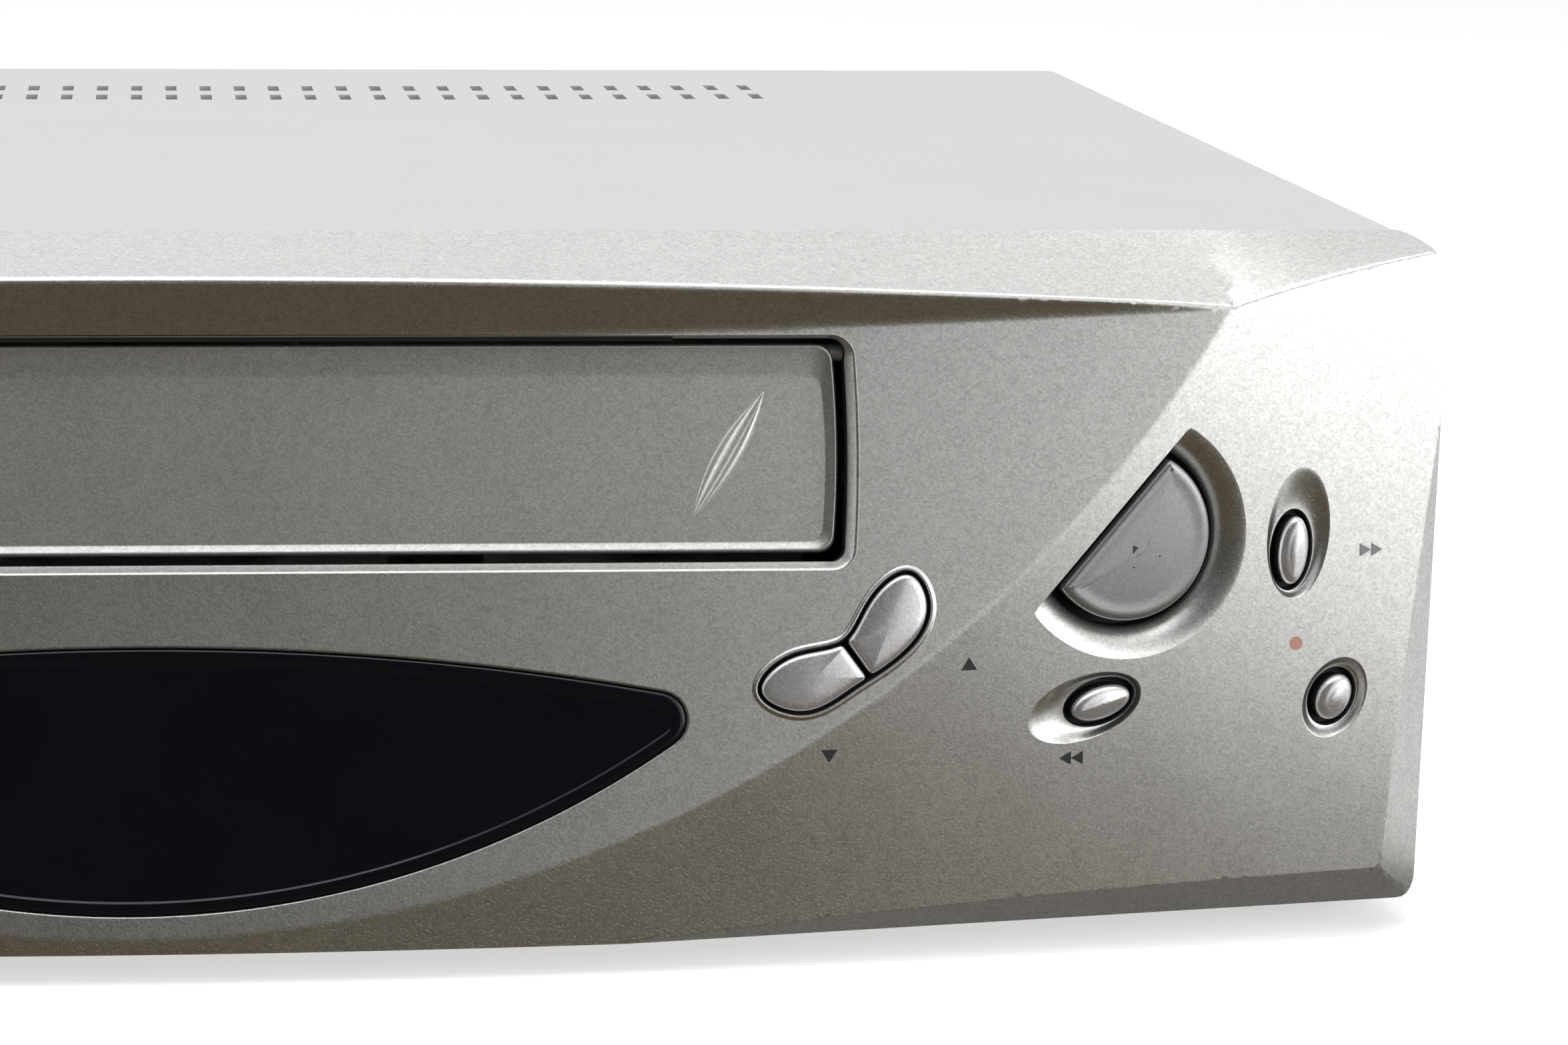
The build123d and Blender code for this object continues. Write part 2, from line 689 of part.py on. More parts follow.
def make_cover_screws():
    """Pan-head screws, two in each side of the cover."""
    up = (Align.CENTER, Align.CENTER, Align.MIN)
    down = (Align.CENTER, Align.CENTER, Align.MAX)
    screw = Cylinder(3.4, cover_screw_head, align=up) + Cylinder(cover_screw_radius, 4.5, align=down)
    return [Pos(side * cover_half_width, y, cover_screw_z) * Rot(0, 90 * side, 0) * screw
            for side, y in cover_screw_places]


# ---- boards and sockets -------------------------------------------------------------------------------
def make_main_board():
    """The main circuit board on its posts, cut out around the deck posts."""
    half = tray_half - tray_rim_wall - main_board_margin
    board = block(-half, half, 10.0, rear_inner_y - 6, main_board_z, main_board_z + board_sheet)
    for x, y in post_places:
        board = board - disc(x, y, 0, 60, 5.0)
    for x, y in board_places:
        board = board - disc(x, y, 0, 60, 1.4)
    for x, y in foot_places:
        board = board - disc(x, y, 0, 60, foot_plug_radius + 1)
    return board


board_top_z = main_board_z + board_sheet


def make_capacitors():
    """Upright electrolytic capacitors on the supply side and near the tuner."""
    places = [(-126, 96, 8, 30), (-126, 118, 8, 30), (-146, 96, 6, 22), (-146, 112, 6, 22), (126, 120, 5, 18)]
    places += [(140 + 12 * i, 150, 4, 14) for i in range(3)] + [(-120 + 9 * i, 140, 3.2, 12) for i in range(2)]
    return [disc(x, y, board_top_z, board_top_z + tall, radius) for x, y, radius, tall in places]


def make_chips():
    """Flat integrated circuits."""
    places = [(128, 60, 18, 10), (150, 96, 12, 12), (0, 60, 20, 12), (-40, 150, 9, 14)]
    return [block(x - a, x + a, y - b, y + b, board_top_z, board_top_z + 3.2) for x, y, a, b in places]


def make_heat_sink():
    """A finned aluminium cooler beside the power supply."""
    base = block(-158, -112, 164, 167, board_top_z, 62)
    fins = [block(-158 + 8.6 * i, -155 + 8.6 * i, 167, 180, board_top_z, 62) for i in range(6)]
    return base + fins


def make_transformer():
    """The supply's transformer: a laminated core with its bobbin through the window."""
    x, y, z = -140.0, 60.0, board_top_z
    core = block(x - 20, x + 20, y - 9, y + 9, z, z + 34)
    for window_x in (x - 13, x + 7):
        core = core - block(window_x, window_x + 6, y - 10, y + 10, z + 7, z + 27)
    return core


def make_winding():
    """The transformer's winding around the core's middle limb."""
    x, y, z = -140.0, 60.0, board_top_z
    coil = block(x - 12.7, x + 12.7, y - 15, y + 15, z + 7.3, z + 26.7)
    return coil - block(x - 7.3, x + 7.3, y - 9.3, y + 9.3, z, z + 40)


def tube_back(x, z, outer, inner, y_low, y_high):
    """A round socket barrel that points out of the back."""
    barrel = Cylinder(outer, y_high - y_low) - Pos(0, 0, -3) * Cylinder(inner, y_high - y_low)
    return Pos(x, (y_low + y_high) / 2, z) * Rot(90, 0, 0) * barrel


def make_tuner():
    """The screened tuner box with its two aerial barrels."""
    x = aerial_places[0][0]
    box = block(x - 8.5, x + 8.5, 176, rear_inner_y - 0.6, board_top_z, 62)
    for x, z in aerial_places:
        box = box + tube_back(x, z, jack_radius + 0.6, 3.2, rear_inner_y - 0.7, cover_length + socket_reach)
    return box


def make_scart():
    """Two 21-way sockets, one over the other: a skewed shroud in the back plate around a tongue."""
    sockets = []
    for x, z in scart_places:
        a, b = scart_half_width - fit_gap, scart_half_height - fit_gap
        rim = make_face(Polyline((-a, -b), (a - 3, -b), (a, -b + 3), (a, b), (-a, b), close=True))
        body = Pos(x, cover_length + 1.0, z) * Rot(90, 0, 0) * extrude(rim, amount=20)
        hole = Pos(x, cover_length + 2.0, z) * Rot(90, 0, 0) * extrude(offset(rim, -1.6), amount=12)
        tongue = block(x - 18, x + 18, cover_length - 10, cover_length - 1, z - 1.2, z + 1.2)
        sockets.append(body - hole + tongue)
    return sockets


def make_scart_stand():
    """The moulded stand that carries both sockets over the board."""
    x = scart_places[0][0]
    low, high = scart_places[0][1], scart_places[1][1]
    a, b = scart_half_width - fit_gap, scart_half_height - fit_gap
    y_low, y_high = cover_length - 19, cover_length - 9
    foot = block(x - a, x + a, y_low, y_high, board_top_z, low - b)
    spacer = block(x - a, x + a, y_low, y_high, low + b, high - b)
    return [foot, spacer]


def make_audio_jacks():
    """A block with two phono jacks, one over the other."""
    x = jack_places[0][0]
    low = jack_places[0][1] - 9
    high = jack_places[1][1] + 9
    body = block(x - 8, x + 8, rear_inner_y - 14, rear_inner_y - 0.4, board_top_z, high)
    for x, z in jack_places:
        body = body + tube_back(x, z, jack_radius, 2.6, rear_inner_y - 0.5, cover_length + socket_reach)
    return body


def make_mains_inlet():
    """The two-pin figure-of-eight mains inlet in the back plate."""
    a, b = inlet_half_width - fit_gap, inlet_half_height - fit_gap
    shell = block(inlet_x - a, inlet_x + a, rear_inner_y - 16, cover_length + 1.0, inlet_z - b, inlet_z + b)
    well = SlotOverall(15.0, 8.4)
    well = Pos(inlet_x, cover_length + 1.5, inlet_z) * Rot(90, 0, 0) * extrude(well, amount=12)
    shell = shell - well
    for side in (-1, 1):
        shell = shell + Pos(inlet_x + side * 3.9, cover_length - 6, inlet_z) * Rot(90, 0, 0) * Cylinder(1.2, 9)
    post = block(inlet_x - 8, inlet_x + 8, rear_inner_y - 16, rear_inner_y - 8, board_top_z, inlet_z - b + 0.5)
    return shell + post


# ---- cassette carriage --------------------------------------------------------------------------------
holder_outer_half = holder_inner_half + holder_sheet
slide_inner = holder_outer_half + 0.4
slide_outer = slide_inner + slide_sheet
bracket_inner = slide_outer + 0.4
bracket_outer = bracket_inner + bracket_sheet
pin_radius = 1.5
holder_pins = [(bay_front_y + 16.0, bay_floor_z + 16.0), (bay_rear_y - 22.0, bay_floor_z + 16.0)]
small_bolt_radius = 1.2
bracket_bolt_x = (bracket_outer + deck_half_width) / 2
bracket_bolts = [(bracket_bolt_x, bay_front_y + 12), (bracket_bolt_x, bay_rear_y + holder_travel - 10)]
slide_pins = [(bay_front_y + 12.0, bay_floor_z + 30.0), (bay_rear_y - 12.0, bay_floor_z + 30.0)]


def make_bracket():
    """The right steel side bracket of the carriage, with two level slots for the slide's pins."""
    front_y, rear_y = bay_front_y - 2, bay_rear_y + holder_travel + 4
    top_z = bay_floor_z + cassette_height + 12
    plate = block(bracket_inner, bracket_outer, front_y, rear_y, deck_top_z, top_z)
    plate = plate - block(bracket_inner - 1, bracket_outer + 1, front_y + 24, rear_y - 34, deck_top_z + 10,
                          bay_floor_z - 8)
    for y, z in slide_pins:
        slot = Pos(bracket_inner, y + holder_travel / 2, z) * Rot(0, 90, 0) * Rot(0, 0, 90) * extrude(
            SlotCenterToCenter(holder_travel, 2 * (pin_radius + press_gap)), amount=8, both=True)
        plate = plate - slot
    foot = block(bracket_inner, deck_half_width - 0.6, front_y + 6, front_y + 22, deck_top_z,
                 deck_top_z + bracket_sheet)
    rear_foot = Pos(0, rear_y - front_y - 28, 0) * foot
    bracket = plate + foot + rear_foot
    for x, y in bracket_bolts:
        bracket = bracket - disc(x, y, 0, 60, small_bolt_radius + press_gap)
    return bracket


def make_slide():
    """The right slide plate: two upright slots for the holder's pins and two pins in the bracket."""
    low_z = bay_floor_z - holder_drop + 6
    plate = block(slide_inner, slide_outer, bay_front_y + 4, bay_rear_y - 4, low_z, bay_floor_z + cassette_height + 8)
    plate = plate - block(slide_inner - 1, slide_outer + 1, bay_front_y + 28, bay_rear_y - 34, low_z + 8,
                          bay_floor_z + 20)
    for y, z in holder_pins:
        slot = Pos(slide_inner, y, z - holder_drop / 2) * Rot(0, 90, 0) * extrude(
            SlotCenterToCenter(holder_drop, 2 * (pin_radius + press_gap)), amount=8, both=True)
        plate = plate - slot
    for y, z in slide_pins:
        pin = Pos(slide_outer - 0.2, y, z) * Rot(0, 90, 0) * Cylinder(
            pin_radius, bracket_outer - slide_outer + 0.2, align=(Align.CENTER, Align.CENTER, Align.MIN))
        plate = plate + pin
    return plate


def make_holder():
    """The cassette holder: a steel cradle open below, in front and behind, with lips under the cassette."""
    low_z = bay_floor_z - holder_sheet
    top_z = bay_floor_z + cassette_height + 0.8
    half, inner = holder_outer_half, holder_inner_half
    cradle = block(-half, half, bay_front_y, bay_rear_y, low_z, top_z + holder_sheet)
    cradle = cradle - block(-inner, inner, bay_front_y - 1, bay_rear_y + 1, bay_floor_z, top_z)
    cradle = cradle - block(-inner + holder_lip, inner - holder_lip, bay_front_y - 1, bay_rear_y + 1, low_z - 1, top_z)
    cradle = cradle - block(-46, 46, bay_front_y + 30, bay_rear_y - 20, top_z - 1, top_z + 9)
    for side in (-1, 1):
        for y, z in holder_pins:
            pin = Pos(side * (half - 0.2), y, z) * Rot(0, 90 * side, 0) * Cylinder(
                pin_radius, slide_outer - half + 0.2, align=(Align.CENTER, Align.CENTER, Align.MIN))
            cradle = cradle + pin
    return cradle


# ---- tape transport -----------------------------------------------------------------------------------
reel_x = reel_spacing / 2
idler_pivot_y = reel_y - idler_pivot_back
guide_layers = {"supply": deck_low_z - 0.6 - guide_arm_sheet, "take_up": deck_low_z - 1.2 - 2 * guide_arm_sheet}


def on_circle(radius, angle, side):
    """A place on the drum's guide circle, the angle counted from the front towards one side."""
    return side * radius * sin(radians(angle)), drum_y - radius * cos(radians(angle))


def arc_slot(side, width, grow):
    """The curved slot in the deck that a loading guide runs along."""
    ring = Circle(guide_path_radius + width / 2 + grow) - Circle(guide_path_radius - width / 2 - grow)
    reach = guide_path_radius * 2
    first, last = guide_rest_angle, guide_rest_angle + guide_swing
    wedge_points = [(0, 0)]
    for share in (0, 0.5, 1):
        angle = first + (last - first) * share
        wedge_points.append((side * reach * sin(radians(angle)), -reach * cos(radians(angle))))
    slot = ring & make_face(Polyline(*wedge_points, close=True))
    for angle in (first, last):
        x, y = on_circle(guide_path_radius, angle, side)
        slot = slot + Pos(x, y - drum_y) * Circle(width / 2 + grow)
    return Pos(0, drum_y, deck_low_z - 1) * extrude(slot, amount=deck_sheet + 2)


guide_neck = 5.0


def make_deck():
    """The pressed deck plate with a rolled edge, the guide slots and the openings for axles and bearings."""
    deck = block(-deck_half_width, deck_half_width, deck_front_y, deck_rear_y, deck_low_z, deck_top_z)
    deck = fillet(deck.edges().filter_by(Axis.Z), 6)
    for side in (-1, 1):
        deck = deck - arc_slot(side, guide_neck, fit_gap)
        deck = deck - disc(side * reel_x, reel_y, 0, 60, axle_radius + 1)
    deck = deck - disc(0, drum_y, 0, 60, drum_boss_radius + press_gap)
    deck = deck - disc(capstan_x, capstan_y, 0, 60, 6 + press_gap)
    deck = deck - disc(pinch_pivot_x, pinch_pivot_y, 0, 60, axle_radius + 1)
    deck = deck - disc(0, idler_pivot_y, 0, 60, axle_radius + 1)
    deck = deck - disc(tension_x, tension_y, 0, 60, axle_radius + 1)
    for x, y in post_places:
        deck = deck - disc(x, y, 0, 60, 1.7)
    for x, y in bracket_bolts:
        hole = disc(x, y, 0, 60, small_bolt_radius + running_gap)
        deck = deck - hole - mirrored(hole)
    return deck


def make_deck_screws():
    """Four screws that hold the deck on its posts and four that hold the carriage on the deck."""
    screws = [disc(x, y, deck_top_z, deck_top_z + 2, 3.2) + disc(x, y, deck_low_z - 5, deck_top_z, small_bolt_radius)
              for x, y in post_places]
    seat_z = deck_top_z + bracket_sheet
    for x, y in bracket_bolts:
        screw = disc(x, y, seat_z, seat_z + 1.6, 2.6) + disc(x, y, deck_low_z - 1, seat_z, small_bolt_radius)
        screws += [screw, mirrored(screw)]
    return screws


def axle(x, y, top_z):
    """A steel axle riveted into the deck: a head under it, a collar on it and the pin."""
    pin = disc(x, y, deck_low_z - 0.5, top_z, axle_radius)
    return pin + disc(x, y, deck_low_z, deck_top_z + 0.4, axle_radius + 0.85)


tension_x, tension_y = -84.0, 168.0


def make_axles():
    """The axles of the reels, the idler, the pinch arm and the tension arm."""
    axles = [axle(side * reel_x, reel_y, reel_top_z - 3) for side in (-1, 1)]
    axles.append(axle(0, idler_pivot_y, deck_top_z + 10))
    axles.append(axle(pinch_pivot_x, pinch_pivot_y, deck_top_z + 14))
    axles.append(axle(tension_x, tension_y, deck_top_z + 12))
    return axles


def make_reel(side):
    """A reel table: a ribbed disc and a hub with three drive fins."""
    low = deck_top_z + 0.7
    table = disc(0, 0, low, low + 3, reel_radius) - disc(0, 0, low + 2, low + 4, reel_radius - 2.5)
    table = table + disc(0, 0, low, reel_top_z - 4, reel_hub_radius)
    table = table + Pos(0, 0, reel_top_z - 4) * Cone(
        reel_hub_radius, 3.2, 4, align=(Align.CENTER, Align.CENTER, Align.MIN))
    for index in range(3):
        fin = Rot(0, 0, 120 * index) * block(4.5, 9.2, -0.9, 0.9, low + 2, reel_top_z - 4.5)
        table = table + fin
    table = table - disc(0, 0, low - 1, reel_top_z - 2.6, axle_radius + running_gap)
    return Pos(side * reel_x, reel_y, 0) * table


idler_low_z = deck_top_z + 0.7


def make_idler_arm():
    """The swinging arm that carries the idler wheel between the reel tables."""
    bar_low, bar_high = idler_low_z + 4.6, idler_low_z + 6
    arm = disc(0, 0, idler_low_z, bar_high, 4.6) + block(-3, 3, 0, idler_arm_length, bar_low, bar_high)
    arm = arm + disc(0, idler_arm_length, bar_low, bar_high, 4)
    arm = arm + disc(0, idler_arm_length, idler_low_z, idler_low_z + 5, axle_radius)
    arm = arm - disc(0, 0, 0, 60, axle_radius + running_gap)
    return Pos(0, idler_pivot_y, 0) * arm


def make_idler_wheel():
    """The rubber-tyred idler wheel that drives one reel table or the other."""
    wheel = disc(0, 0, idler_low_z, idler_low_z + 4, idler_wheel_radius)
    wheel = wheel - disc(0, 0, idler_low_z + 2.6, idler_low_z + 5, idler_wheel_radius - 2.5)
    wheel = wheel + disc(0, 0, idler_low_z, idler_low_z + 4.3, 4)
    wheel = wheel - disc(0, 0, 0, 60, axle_radius + running_gap)
    return Pos(0, idler_pivot_y + idler_arm_length, 0) * wheel


drum_place = Pos(0, drum_y, deck_top_z + 6) * Rot(0, -drum_tilt, 0)


def make_lower_drum():
    """The fixed lower drum: a boss through the deck, a wedge foot and the tilted cylinder with its ledge."""
    tilt_rise = 2 * drum_radius * tan(radians(drum_tilt))
    foot = disc(0, drum_y, deck_top_z, deck_top_z + 6 + tilt_rise, drum_radius + 3)
    tilted = drum_place * Pos(0, 0, 1) * Cylinder(90, 60, align=(Align.CENTER, Align.CENTER, Align.MIN))
    foot = foot - tilted
    drum = drum_place * Cylinder(drum_radius, drum_lower_height, align=(Align.CENTER, Align.CENTER, Align.MIN))
    ledge = drum_place * Cylinder(drum_radius + 0.8, drum_lower_height - 5, align=(Align.CENTER, Align.CENTER, Align.MIN))
    boss = disc(0, drum_y, guide_layers["take_up"] - 1.5, deck_top_z, drum_boss_radius)
    drum = foot + drum + ledge + boss
    bore = drum_place * Pos(0, 0, 2) * Cylinder(3 + running_gap, 60, align=(Align.CENTER, Align.CENTER, Align.MIN))
    return drum - bore


def make_head_drum():
    """The turning upper drum with its shaft and the two windows for the heads."""
    start = drum_lower_height + drum_gap
    drum = Cylinder(drum_radius, drum_upper_height, align=(Align.CENTER, Align.CENTER, Align.MIN))
    drum = drum - Pos(0, 0, drum_upper_height - 5) * Cylinder(drum_radius - 4, 9, align=(Align.CENTER, Align.CENTER, Align.MIN))
    drum = drum + Pos(0, 0, drum_upper_height - 7) * Cylinder(11, 6, align=(Align.CENTER, Align.CENTER, Align.MIN))
    for side in (-1, 1):
        drum = drum - Pos(side * drum_radius, 0, 0) * Box(6, 5, 3)
    shaft = Pos(0, 0, -drum_lower_height + 4) * Cylinder(3, drum_lower_height, align=(Align.CENTER, Align.CENTER, Align.MIN))
    return drum_place * Pos(0, 0, start) * (drum + shaft)


def make_drum_motor():
    """The drum's flat motor ring, fixed around the foot of the lower drum's boss under the deck."""
    low = guide_layers["take_up"] - 5
    ring = disc(0, drum_y, low, low + 3.5, 26) - disc(0, drum_y, low + 2, low + 4, 24)
    return ring + disc(0, drum_y, low + 2, low + 3.5, 8)


def make_guide(name, side):
    """A loading guide: an arm on the drum's boss under the deck, a neck through the slot and its posts."""
    low = guide_layers[name]
    arm_high = low + guide_arm_sheet
    x, y = on_circle(guide_path_radius, guide_rest_angle, side)
    ring = Circle(drum_boss_radius + 5) + Rot(0, 0, -90 + side * guide_rest_angle) * Pos(guide_path_radius / 2, 0) * Rectangle(
        guide_path_radius, 9)
    ring = ring + Pos(x, y - drum_y) * Circle(5.5)
    ring = ring - Circle(drum_boss_radius + running_gap)
    arm = Pos(0, drum_y, low) * extrude(ring, amount=guide_arm_sheet)
    neck = disc(x, y, arm_high - 0.2, deck_top_z + 0.6, guide_neck / 2)
    base = disc(x, y, deck_top_z + 0.4, deck_top_z + 4, 5.2)
    post = disc(x, y, deck_top_z + 3.8, guide_post_top_z, 1.5)
    roller = disc(x, y, deck_top_z + 8, guide_post_top_z - 2, guide_post_radius + 0.6)
    for z in (deck_top_z + 7, guide_post_top_z - 2):
        roller = roller + disc(x, y, z, z + 1.2, guide_post_radius + 1.6)
    return arm + neck + base + post + roller


def make_capstan():
    """The capstan: a ground shaft with its flat rotor under the deck."""
    rotor_low = board_top_z + 1.4
    shaft = disc(capstan_x, capstan_y, rotor_low, capstan_top_z, capstan_radius)
    return shaft + disc(capstan_x, capstan_y, rotor_low, rotor_low + 4, 15)


bearing_top_z = deck_top_z + 1.5


def make_capstan_bearing():
    """The capstan's flanged bearing sleeve in the deck."""
    sleeve = disc(capstan_x, capstan_y, deck_low_z - 3, bearing_top_z, 5)
    sleeve = sleeve + disc(capstan_x, capstan_y, deck_top_z, bearing_top_z, 8.5)
    sleeve = sleeve + disc(capstan_x, capstan_y, deck_low_z, deck_top_z, 6)
    return sleeve - disc(capstan_x, capstan_y, 0, 60, capstan_radius + running_gap)


def turned(x, y, about_x, about_y, angle):
    """A point turned about another, counter-clockwise seen from above."""
    dx, dy = x - about_x, y - about_y
    c, s = cos(radians(angle)), sin(radians(angle))
    return about_x + dx * c - dy * s, about_y + dx * s + dy * c


pinch_reach = capstan_radius + pinch_roller_radius + fit_gap
pinched_x = capstan_x + pinch_reach * cos(radians(pinch_angle))
pinched_y = capstan_y + pinch_reach * sin(radians(pinch_angle))
roller_x, roller_y = turned(pinched_x, pinched_y, pinch_pivot_x, pinch_pivot_y, pinch_swing)


pinch_arm_low_z = bearing_top_z + 0.4
pinch_arm_high_z = pinch_arm_low_z + 2.5


def make_pinch_arm():
    """The pinch arm: a hub on its axle and a bar over the bearing's flange that carries the roller's pin."""
    low, high = pinch_arm_low_z, pinch_arm_high_z
    length = hypot(roller_x - pinch_pivot_x, roller_y - pinch_pivot_y)
    heading = degrees(atan((roller_x - pinch_pivot_x) / (pinch_pivot_y - roller_y)))
    bar = Rot(0, 0, heading) * block(-3.5, 3.5, -length, 0, low, high)
    arm = Pos(pinch_pivot_x, pinch_pivot_y, 0) * bar
    arm = arm + disc(pinch_pivot_x, pinch_pivot_y, deck_top_z + 0.7, deck_top_z + 13, 4.6)
    arm = arm + disc(roller_x, roller_y, low, high, 5)
    arm = arm + disc(roller_x, roller_y, high, deck_top_z + 25, axle_radius)
    return arm - disc(pinch_pivot_x, pinch_pivot_y, 0, 80, axle_radius + running_gap)


def make_pinch_roller():
    """The rubber pinch roller."""
    low = pinch_arm_high_z + 0.4
    roller = disc(roller_x, roller_y, low, deck_top_z + 24, pinch_roller_radius)
    return roller - disc(roller_x, roller_y, 0, 80, axle_radius + running_gap)


def make_tension_arm():
    """The tape tension arm with its feeler post."""
    low = deck_top_z + 0.7
    arm = disc(0, 0, low, low + 8, 4.4) + Rot(0, 0, -62) * block(0, 24, -2.5, 2.5, low, low + 2)
    post_x, post_y = 24 * cos(radians(-62)), 24 * sin(radians(-62))
    arm = arm + disc(post_x, post_y, low, deck_top_z + 26, 1.8)
    arm = arm - disc(0, 0, 0, 80, axle_radius + running_gap)
    return Pos(tension_x, tension_y, 0) * arm


def head_block(x, y, turn, low, high):
    """A fixed head on a post: a rounded block that faces the tape."""
    body = block(-5, 5, -5, 3, low, high)
    body = fillet(body.edges().filter_by(Axis.Z).group_by(Axis.Y)[0], 3)
    stand = block(-4, 4, -2, 2.5, deck_top_z, low + 0.1)
    return Pos(x, y, 0) * Rot(0, 0, turn) * (body + stand)


def make_loading_motor():
    """The loading motor: a round can on its side with flats, in a cradle on the deck."""
    can = Rot(90, 0, 0) * Cylinder(11, 30)
    can = can - Pos(0, 0, 19) * Box(60, 60, 20) - Pos(0, 0, -19) * Box(60, 60, 20)
    shaft = Pos(0, -19, 0) * Rot(90, 0, 0) * Cylinder(1, 10)
    worm = Pos(0, -19.5, 0) * Rot(90, 0, 0) * Cylinder(3, 8)
    return Pos(-88, 214, deck_top_z + 9) * (can + shaft + worm)


# ---- writing ------------------------------------------------------------------------------------------
def gather():
    """Every node's solids, by name, in the modelling frame."""
    nodes = {}
    nodes["front_panel"] = make_front_panel()
    nodes["display_window"] = make_window()
    nodes["cassette_flap"] = make_flap()
    nodes["flap_spring"] = make_flap_spring()
    play = make_play_key()
    nodes["play_button"], nodes["stop_button"] = play, mirrored(play)
    twins = {"fast_forward": "pause", "rewind": "eject", "record": "power"}
    switches = []
    for name, key in oval_keys.items():
        cap = make_oval_key(key)
        nodes[name + "_button"], nodes[twins[name] + "_button"] = cap, mirrored(cap)
        switches.append(axis_on_board(seat(key["x"], key["u"])))
    switches.append(axis_on_board(play_seat(), play_stem_shift, -play_stem_shift))
    nodes["channel_down_key"], down_middle = make_channel_key(down_key_points)
    nodes["channel_up_key"], up_middle = make_channel_key(up_key_points)
    bodies = [switch_at(x, u) for x, u in switches]
    nodes["key_switches"] = bodies + [mirrored(body) for body in bodies]
    nodes["key_switches"] += [switch_at(*down_middle), switch_at(*up_middle)]
    board = board_plate((board_inner_x, board_low_u), (board_outer_x, board_high_u), board_w, board_posts_right)
    board = board - flap_room()
    nodes["key_board_right"] = board
    nodes["key_board_left"] = mirrored(board)
    posts = board_posts_middle + [(-x, u) for x, u in board_posts_middle]
    nodes["display_board"] = board_plate((-84, 12), (84, 52), display_board_w, posts)
    nodes["display_tube"] = face * Pos(0, 30, display_board_w + 4.2) * Box(110, 20, 8)
    nodes["top_cover"] = make_cover()
    nodes["base_tray"] = make_tray()
    nodes["feet"] = make_feet()
    nodes["rear_panel"] = make_rear_panel()
    nodes["cover_screws"] = make_cover_screws()
    nodes["main_board"] = make_main_board()
    nodes["board_capacitors"] = make_capacitors()
    nodes["circuit_chips"] = make_chips()
    nodes["heat_sink"] = make_heat_sink()
    nodes["transformer_core"] = make_transformer()
    nodes["transformer_winding"] = make_winding()
    nodes["tuner_module"] = make_tuner()
    nodes["scart_sockets"] = make_scart()
    nodes["scart_stand"] = make_scart_stand()
    nodes["audio_jacks"] = make_audio_jacks()
    nodes["mains_inlet"] = make_mains_inlet()
    bracket = make_bracket()
    nodes["carriage_bracket_right"], nodes["carriage_bracket_left"] = bracket, mirrored(bracket)
    slide = make_slide()
    nodes["slide_plates"] = [slide, mirrored(slide)]
    nodes["cassette_holder"] = make_holder()
    nodes["deck_plate"] = make_deck()
    nodes["deck_screws"] = make_deck_screws()
    nodes["deck_axles"] = make_axles()
    nodes["supply_reel"] = make_reel(-1)
    nodes["take_up_reel"] = make_reel(1)
    nodes["idler_arm"] = make_idler_arm()
    nodes["idler_wheel"] = make_idler_wheel()
    nodes["lower_drum"] = make_lower_drum()
    nodes["head_drum"] = make_head_drum()
    nodes["drum_motor"] = make_drum_motor()
    nodes["supply_guide"] = make_guide("supply", -1)
    nodes["take_up_guide"] = make_guide("take_up", 1)
    nodes["capstan"] = make_capstan()
    nodes["capstan_bearing"] = make_capstan_bearing()
    nodes["pinch_arm"] = make_pinch_arm()
    nodes["pinch_roller"] = make_pinch_roller()
    nodes["tension_arm"] = make_tension_arm()
    nodes["erase_head"] = head_block(-70.0, 190.0, 60, deck_top_z + 5, deck_top_z + 26)
    nodes["audio_control_head"] = head_block(70.0, 192.0, -60, deck_top_z + 5, deck_top_z + 26)
    nodes["loading_motor"] = make_loading_motor()
    return nodes


def solids_of(piece):
    """The separate solids of a piece, or of a list of pieces."""
    if isinstance(piece, list):
        return [solid for one in piece for solid in solids_of(one)]
    return list(piece.solids())


def middle_y(nodes):
    """Half way between the front panel's foremost point and the tips of the aerial barrels."""
    return (nodes["front_panel"].bounding_box().min.Y + nodes["tuner_module"].bounding_box().max.Y) / 2


if __name__ == "__main__":
    os.makedirs("parts", exist_ok=True)
    all_nodes = gather()
    to_middle = Pos(0, -middle_y(all_nodes), 0)
    for name, piece in all_nodes.items():
        export_step(Compound(children=[to_middle * solid for solid in solids_of(piece)]), f"parts/{name}.step")
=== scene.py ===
from math import atan, cos, pi, radians, sin
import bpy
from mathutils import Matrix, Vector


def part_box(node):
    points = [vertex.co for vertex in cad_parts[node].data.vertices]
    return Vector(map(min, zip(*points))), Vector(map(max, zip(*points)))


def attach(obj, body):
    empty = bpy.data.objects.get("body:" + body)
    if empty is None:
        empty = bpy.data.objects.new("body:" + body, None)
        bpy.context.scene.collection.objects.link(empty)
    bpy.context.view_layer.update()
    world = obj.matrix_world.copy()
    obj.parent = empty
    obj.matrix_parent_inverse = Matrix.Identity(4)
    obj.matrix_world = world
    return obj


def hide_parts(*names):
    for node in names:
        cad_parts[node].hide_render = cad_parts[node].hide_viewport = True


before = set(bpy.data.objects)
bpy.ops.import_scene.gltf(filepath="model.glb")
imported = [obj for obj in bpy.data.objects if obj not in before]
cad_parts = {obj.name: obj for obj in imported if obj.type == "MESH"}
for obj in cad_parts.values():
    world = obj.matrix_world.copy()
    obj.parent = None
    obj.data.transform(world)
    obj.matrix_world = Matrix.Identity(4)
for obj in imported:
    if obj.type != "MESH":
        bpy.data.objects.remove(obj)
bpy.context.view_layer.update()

from types import SimpleNamespace

import bpy
import numpy as np
from mathutils import Vector
from mathutils.geometry import delaunay_2d_cdt

bl_info = {
    "name": "Video Cassette Recorder",
    "version": (1, 0, 0),
    "blender": (4, 5, 0),
    "location": "View3D > Sidebar > Recorder",
    "description": "Dresses a front-loading video cassette recorder: panel, flap, window, keys, finishes",
    "category": "Add Mesh",
}

SEAM_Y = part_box("top_cover")[0].y


